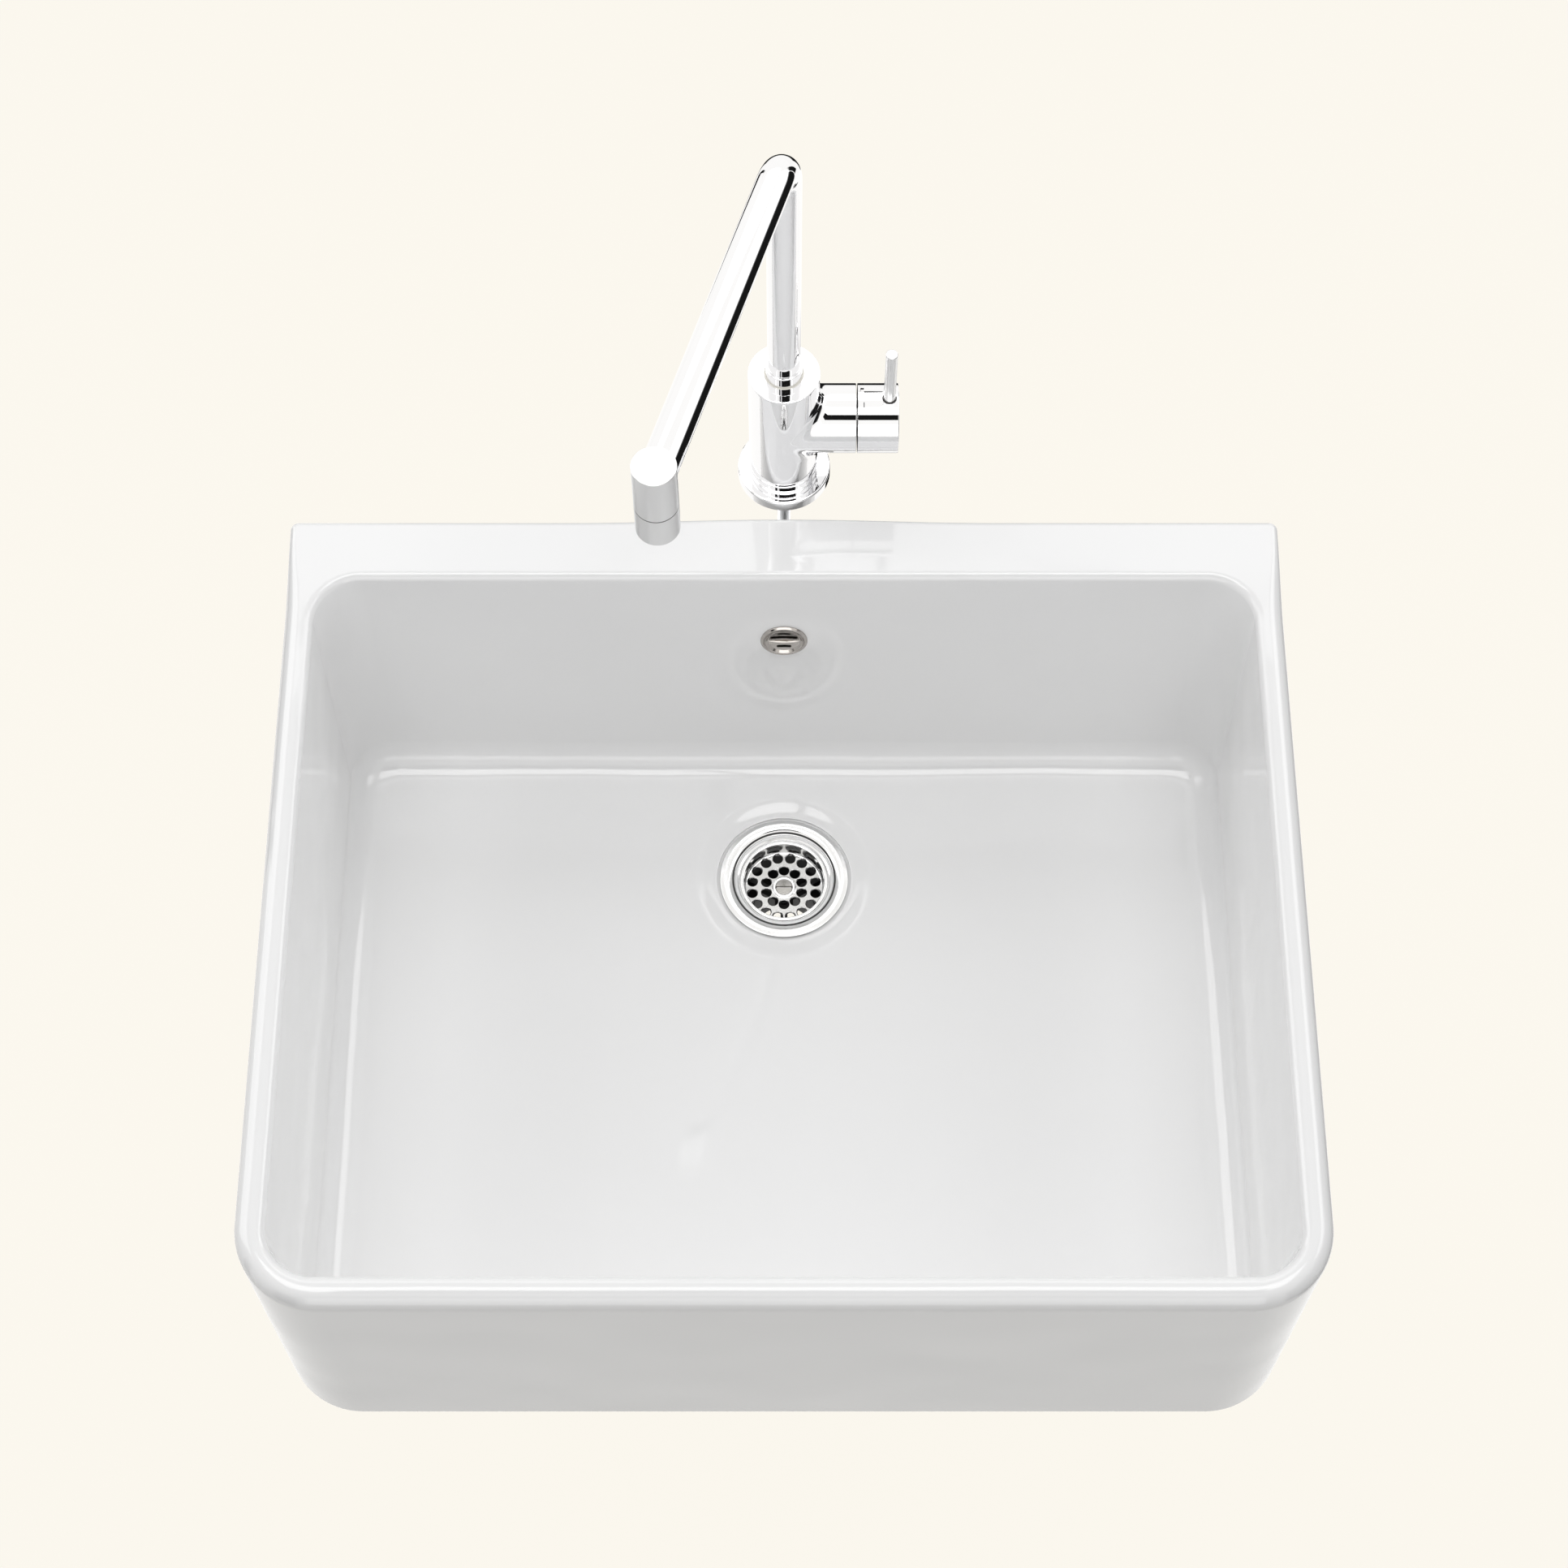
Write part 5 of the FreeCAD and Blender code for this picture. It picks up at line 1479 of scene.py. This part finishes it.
# ------------------------------------------------------------------ handle
@dataclass
class Handle:
    """The round handle, its thin upright lever and the valve that it turns."""

    rim: float = 20.6
    pivot: float = 30.0
    lever: float = 3.5
    collar: float = 4.35
    tick_from_seam: float = 3.4
    tick_width: float = 0.5
    tick_depth: float = 0.35
    tick_arcs: tuple[tuple[float, float], ...] = ((150.0, 168.0), (187.0, 200.0))
    cap: Place = box_of("handle_cap")
    rod: Place = box_of("lever_rod")
    foot: Place = box_of("base_flange")

    def __post_init__(self) -> None:
        """Works out where the valve's axis is."""
        self.axis = Vector((0.0, self.foot.centre.y, self.cap.centre.z))
        self.end = self.cap.high.x
        self.start = self.cap.low.x

    def build(self, shop: Workshop) -> None:
        """Builds and dresses the handle and the valve."""
        self._cap(shop)
        self._lever(shop)
        shop.dress(Slot.ZINC, "handle_screw", "stem_pin")
        shop.dress(Slot.STEM, "cartridge_stem")
        shop.dress(Slot.ACETAL, "cartridge_carrier")
        shop.dress(Slot.CARTRIDGE, "cartridge_housing", "cartridge_base")
        shop.dress(Slot.DISC, "ceramic_discs")
        shop.dress(Slot.BRASS, "cartridge_nut")

    def _along_x(self) -> Matrix:
        """Carries a piece made about Z onto the valve's axis, its top at the handle's end."""
        return Matrix.Translation(self.axis) @ Matrix.Rotation(math.pi / 2, 4, "Y")

    def _cap(self, shop: Workshop) -> None:
        """The handle, hollow as a ball about the stem's pivot."""
        start, end, rim = self.start, self.end, self.rim
        ball = math.hypot(start - self.pivot, rim) + 0.05
        hollow = []
        steps, first = 14, math.atan2(rim - 0.3, start - self.pivot)
        for step in range(steps):
            angle = first * (1 - step / steps)
            hollow.append(Corner(ball * math.sin(angle), self.pivot + ball * math.cos(angle)))
        bench = Bench()
        bench.lathe([
            Corner(0, self.pivot + ball), Corner(0, end), Corner(rim, end, 0.65),
            Corner(rim, start + 0.05, 0.12), *hollow], 160, 6)
        near, deep = start + self.tick_from_seam, rim - self.tick_depth
        far = near + self.tick_width
        for first, last in self.tick_arcs:
            tick = Bench()
            tick.lathe([Corner(deep, near), Corner(rim + 1, near), Corner(rim + 1, far),
                        Corner(deep, far)], 240)
            self._keep_arc(tick, first, last)
            bench.combine(tick)
        bench.place(self._along_x())
        # The hollow is painted near-black as painted shade; the index marks are dark paint in
        # their grooves.
        shop.piece(bench, Label("round_handle", "handle", Slot.CHROME, ("handle_cap",),
                                patch=Patch.UNPLATED, patched=self._is_inside))

    def _is_inside(self, spot: Vector) -> bool:
        """Whether a place on the handle is in its hollow, which gets painted shade, or an index
        mark, which is dark-painted.
        """
        away = spot - self.axis
        radius = math.hypot(away.y, away.z)
        ball = math.hypot(self.start - self.pivot, self.rim) + 0.3
        hollow = math.hypot(spot.x - self.pivot, radius) < ball
        marked = abs(spot.x - self.start - self.tick_from_seam - self.tick_width / 2) < 0.3
        return (hollow and radius < self.rim - 0.15) or (marked and radius < self.rim - 0.1)

    def _keep_arc(self, tick: Bench, first: float, last: float) -> None:
        """Keeps only a short arc of an index mark's cutter.

        Args:
            tick: The cutter, a whole ring.
            first: Where the arc starts, in degrees about the valve's axis.
            last: Where it ends.
        """
        for angle, clear in ((first, True), (last, False)):
            turn = math.radians(angle)
            across = Vector((-math.sin(turn), math.cos(turn), 0.0))
            cut = bmesh.ops.bisect_plane(
                tick.mesh, geom=tick.mesh.verts[:] + tick.mesh.edges[:] + tick.mesh.faces[:],
                plane_co=(0, 0, 0), plane_no=across, clear_inner=clear, clear_outer=not clear)
            edges = [e for e in edges_of(cut["geom_cut"]) if e.is_valid]
            bmesh.ops.holes_fill(tick.mesh, edges=edges, sides=0)

    def _lever(self, shop: Workshop) -> None:
        """The lever and the chrome collar ring at its foot, whose top face carries painted shade
        in the seam.
        """
        low, top, seat = self.rod.low.z, self.rod.high.z, self.axis.z + self.rim
        place = shift(self.rod.centre.x, self.axis.y)
        bore, ring_top = self.lever + 0.04, seat + 0.55
        shop.turned([
            Corner(0, low), Corner(2.5, low), Corner(2.5, seat - 1), Corner(self.lever, seat - 1),
            Corner(self.lever, top, 0.7), Corner(0, top)],
            place, Label("lever", "handle", Slot.SATIN, ("lever_rod",)), 64, 6)
        shop.turned([
            Corner(bore, seat - 1), Corner(self.collar, seat - 1),
            Corner(self.collar, ring_top, 0.3), Corner(bore, ring_top, 0.1)],
            # The ring's top face, in the seam round the lever, is painted near-black as painted
            # shade.
            place, Label("lever_ring", "handle", Slot.CHROME, ("lever_collar",),
                         patch=Patch.UNPLATED, patched=lambda spot: spot.z > ring_top - 0.2), 64)


# ------------------------------------------------------------------ fixings
@dataclass
class Fixings:
    """The carrier behind the sink and what clamps the tap on it."""

    stud: float = 4.0
    stud_pitch: float = 1.25
    stud_depth: float = 0.75
    studs: Place = box_of("tap_studs")

    def build(self, shop: Workshop) -> None:
        """Dresses the fixings and builds the threaded studs."""
        self._studs(shop)
        shop.dress(Slot.CARRIER, "tap_carrier")
        shop.dress(Slot.BRASS, "carrier_inserts")
        shop.dress(Slot.RUBBER, "clamp_rubber")
        shop.dress(Slot.ZINC, "carrier_screws", "clamp_plate", "clamp_nuts")

    def _studs(self, shop: Workshop) -> None:
        """Two studs with real threads."""
        low, high = self.studs.low.z, self.studs.high.z
        core = self.stud - self.stud_depth
        for name, y in (("front", self.studs.low.y + self.stud),
                        ("rear", self.studs.high.y - self.stud)):
            shop.turned([
                Corner(0, low), Corner(core, low, 0.4), Corner(core, high, 0.4), Corner(0, high)],
                shift(0.0, y), Label(f"stud_{name}", "sink", Slot.ZINC, ("tap_studs",)), 32)
            thread = helix(core - 0.05, self.stud_depth + 0.03, self.stud_pitch, low + 0.5,
                           high - 0.5, 24)
            shop.piece(thread.place(shift(0.0, y)),
                       Label(f"stud_thread_{name}", "sink", Slot.ZINC))


# ------------------------------------------------------------------ studio
@dataclass(frozen=True)
class Panel:
    """A rectangle in the studio that looks at one point. Lengths are metres."""

    name: str
    place: tuple[float, float, float]
    aim: tuple[float, float, float]
    width: float
    depth: float

    def add(self, data: bpy.types.ID) -> bpy.types.Object:
        """Puts a lamp or a mesh where the panel is, its -Z towards the aim."""
        obj = add_object(self.name, data)
        away = Vector(self.aim) - Vector(self.place)
        turn = away.to_track_quat("-Z", "Y").to_matrix().to_4x4()
        obj.matrix_world = Matrix.Translation(self.place) @ turn
        return obj

    def sheet(self, material: bpy.types.Material) -> bpy.types.Object:
        """Makes the panel as a flat mesh that isn't part of the object."""
        bench = Bench()
        bmesh.ops.create_grid(bench.mesh, x_segments=1, y_segments=1, size=0.5)
        bmesh.ops.scale(bench.mesh, verts=bench.mesh.verts, vec=(self.width, self.depth, 1.0))
        data = bench.bake(self.name)
        data.materials.append(material)
        obj = self.add(data)
        return obj


@dataclass(frozen=True)
class Lamp(Panel):
    """A rectangular soft lamp."""

    watts: float

    def build(self) -> None:
        """Adds the lamp to the scene."""
        data = bpy.data.lights.new(self.name, "AREA")
        data.shape, data.energy = "RECTANGLE", self.watts
        data.size, data.size_y = self.width, self.depth
        self.add(data)


@dataclass(frozen=True)
class Flag(Panel):
    """A dark card that shows only in reflections, and fades out along its upper edge."""

    fade: float = 0.3
    grey: float = 0.01

    def build(self) -> None:
        """Adds the card to the scene."""
        paint = Paint.named(self.name)
        _, up, _ = paint.split()
        card = paint.node("ShaderNodeEmission", None, {0: opaque((self.grey,) * 3), 1: 1.0})
        obj = self.sheet(paint.finish(paint.fade(
            up.step(self.depth / 2, self.depth / 2 - self.fade),
            paint.node("ShaderNodeBsdfTransparent"), card)))
        obj.visible_camera = obj.visible_diffuse = obj.visible_shadow = False
        obj.visible_transmission = obj.visible_volume_scatter = False


@dataclass
class Studio:
    """The camera, the pale surroundings and the lamps."""

    camera_place: tuple[float, float, float] = (0.0, -0.7221, 1.8021)
    camera_tilt: float = 26.5
    lens: float = 70.0
    sensor: float = 36.0
    background: Colour = (0.965, 0.931, 0.855)
    mirrored: Colour = (1.08, 1.07, 1.05)
    floor_colour: Colour = (0.40, 0.39, 0.365)
    floor_height: float = -0.68
    floor_size: float = 60.0
    floor_share: float = 0.92
    floor_glow: float = 1.06
    sky: float = 0.18
    lamps: tuple[Lamp, ...] = (
        Lamp("top_lamp", (0.0, -0.2, 2.6), (0.0, 0.0, 0.1), 2.4, 1.0, 23.5),
        Lamp("rear_lamp", (0.0, 2.15, 2.6), (0.0, 0.0, 0.1), 2.8, 1.2, 15.0),
        Lamp("front_lamp", (0.0, -2.8, 1.15), (0.0, 0.0, 0.5), 2.4, 2.2, 24.0),
        Lamp("left_lamp", (-2.3, 1.0, 1.5), (0.0, 0.0, 0.1), 2.2, 2.2, 30.5),
        Lamp("right_lamp", (2.3, 1.0, 1.5), (0.0, 0.0, 0.1), 2.2, 2.2, 30.5))
    flags: tuple[Flag, ...] = (
        Flag("side_flag", (1.0, 0.1, 0.1), (0.0, 0.1, 0.1), 1.8, 1.55, 0.35),
        Flag("front_flag", (0.07, -0.5, 1.56), (0.07, 0.28, 0.28), 1.0, 0.48, 0.04),
        Flag("rear_flag", (0.05, 1.3, -0.3), (0.05, 0.0, -0.3), 0.9, 0.75, 0.1),
        Flag("low_flag", (0.25, 0.74, -0.66), (0.25, 0.73, 2.0), 0.42, 0.3, 0.03))
    cards: tuple[tuple[float, float], ...] = (
        (42.0, 0.34), (124.0, 0.16), (158.0, 0.42), (205.0, 0.26), (236.0, 0.5), (311.0, 0.4))
    card_centre: tuple[float, float, float] = (0.0, 0.28, 0.2)
    card_reach: float = 2.0

    def build(self) -> None:
        """Sets up everything round the object."""
        bpy.context.scene.view_settings.view_transform = "Standard"
        self._camera()
        self._world()
        self._floor()
        for panel in (*self.lamps, *self.flags, *self._standing_cards()):
            panel.build()

    def _standing_cards(self) -> Iterable[Flag]:
        """Dark cards that stand round the tap, so that its chrome has dark lines from any side."""
        tap = Vector(self.card_centre)
        for number, (angle, width) in enumerate(self.cards):
            turn = math.radians(angle)
            away = Vector((math.cos(turn), math.sin(turn), 0.0)) * self.card_reach
            yield Flag(f"card_{number}", tuple(tap + away), tuple(tap), width, 1.7, 0.5)

    def _camera(self) -> None:
        """The camera at the photograph's place."""
        data = bpy.data.cameras.new("camera")
        data.lens, data.sensor_width = self.lens, self.sensor
        camera = add_object("camera", data)
        camera.location = self.camera_place
        camera.rotation_euler = (math.radians(self.camera_tilt), 0.0, 0.0)
        bpy.context.scene.camera = camera

    def _shown(self, paint: Paint) -> tuple[Wire, Wire]:
        """Where the surroundings are seen or mirrored, and the colour that they show there."""
        path = paint.node("ShaderNodeLightPath")
        camera, glossy, through = (Wire(paint, path.outputs[f"Is {kind} Ray"])
                                   for kind in ("Camera", "Glossy", "Transmission"))
        seen = paint.math("MAXIMUM", camera, paint.math("MAXIMUM", glossy, through))
        return seen, paint.blend(camera, self.mirrored, self.background)

    def _world(self) -> None:
        """Pale surroundings: the background's colour where it is seen, and a soft sky."""
        paint = Paint(bpy.data.worlds.new("surroundings"))
        seen, tone = self._shown(paint)
        sky = paint.node("ShaderNodeBackground", None, {0: (1.0, 1.0, 1.0, 1.0), 1: self.sky})
        shown = paint.node("ShaderNodeBackground", None, {0: tone, 1: 1.0})
        bpy.context.scene.world = paint.finish(
            paint.fade(seen, sky, shown), "ShaderNodeOutputWorld")

    def _floor(self) -> None:
        """A pale floor that shows the background's colour and keeps a trace of shadow.

        It can't be seen from below.
        """
        paint = Paint.named("studio_floor")
        seen, tone = self._shown(paint)
        lit = paint.node("ShaderNodeBsdfDiffuse", None, {0: opaque(self.floor_colour)})
        shown = paint.node("ShaderNodeEmission", None, {0: tone, 1: self.floor_glow})
        below = paint.node("ShaderNodeNewGeometry").outputs["Backfacing"]
        material = paint.finish(paint.fade(
            below, paint.fade(seen * self.floor_share, lit, shown),
            paint.node("ShaderNodeBsdfTransparent")))
        level = (0.0, 0.0, self.floor_height)
        Panel("studio_floor", level, (0.0, 0.0, self.floor_height - 1), self.floor_size,
              self.floor_size).sheet(material)


def make_finishes() -> dict[Slot | Patch, bpy.types.Material]:
    """Builds one material for each slot and patch."""
    drain = Place.of("waste_flange").centre * MM
    recipes = {
        Slot.GLAZE: Glaze(),
        Slot.CHROME: Metal("tap_chrome", (0.90, 0.90, 0.91), 0.025, 0.02),
        Slot.SATIN: Metal("satin_chrome", (0.74, 0.74, 0.74), 0.22, 0.03, 0.015,
                          Grain.ROUND_UPRIGHT, 2600.0, 0.01),
        Slot.OVERFLOW: Metal("overflow_chrome", (0.45, 0.425, 0.40), 0.12, 0.05),
        Slot.WASTE: Metal("waste_steel", (0.80, 0.80, 0.80), 0.13, 0.05, 0.02,
                          Grain.CONCENTRIC, 1800.0, 0.004, (drain.x, drain.y)),
        Slot.ZINC: Metal("zinc_steel", (0.62, 0.63, 0.65), 0.32, 0.1, 0.06),
        Slot.CARRIER: Moulded("carrier_steel", (0.60, 0.60, 0.58), 0.42, 0.03, 700.0, 0.02),
        Slot.BRASS: Metal("brass", (0.80, 0.58, 0.28), 0.2, 0.08, 0.04),
        Slot.RUBBER: Moulded("black_rubber", (0.02, 0.02, 0.02), 0.62, 0.02, 1200.0, 0.2),
        Slot.POLYPROPYLENE: Moulded("waste_plastic", (0.72, 0.72, 0.71), 0.38, 0.006),
        Slot.ACETAL: Moulded("bearing_plastic", (0.78, 0.76, 0.70), 0.35),
        Slot.CARTRIDGE: Moulded("cartridge_plastic", (0.09, 0.095, 0.105), 0.42),
        Slot.DISC: Moulded("disc_ceramic", (0.86, 0.84, 0.78), 0.2, 0.002),
        Slot.STEM: Metal("stem_steel", (0.58, 0.58, 0.58), 0.25, 0.08, 0.04),
        # Painted shade: near-black where the gaps between parts and the handle's hollow fall in
        # shade; also the real dark paint in the handle's index marks.
        Patch.UNPLATED: Moulded("unplated_casting", (0.045, 0.042, 0.04), 0.6, 0.02, 800.0, 0.2),
        # Satin grain on the strainer's plate, and a darker colour than the waste steel as painted
        # shade at the bottom of the cup.
        Patch.SATIN_PLATE: Metal("satin_plate", (0.60, 0.60, 0.59), 0.26, 0.1, 0.05,
                                 Grain.CONCENTRIC, 1500.0, 0.012, (drain.x, drain.y)),
        Patch.TURNED: Metal("turned_screw", (0.46, 0.45, 0.43), 0.2, 0.08, 0.04,
                            Grain.CONCENTRIC, 2200.0, 0.006, (drain.x, drain.y)),
        # Painted shade: near-black on faces inside the waste, where the hole falls in shade.
        Patch.STAINED: Moulded("stained_plastic", (0.012, 0.012, 0.012), 0.55, 0.01, 600.0, 0.3),
    }
    return {slot: recipe.build() for slot, recipe in recipes.items()}


def main() -> None:
    """Builds the object and the studio."""
    logging.basicConfig(level=logging.INFO, format="%(name)s: %(message)s")
    shop = Workshop(make_finishes())
    for assembly in (ApronSink, Overflow, Waste, MixerBody, Spout, Handle, Fixings):
        LOG.info("building %s", assembly.__name__)
        assembly().build(shop)
    Studio().build()


if __name__ == "__main__":
    main()
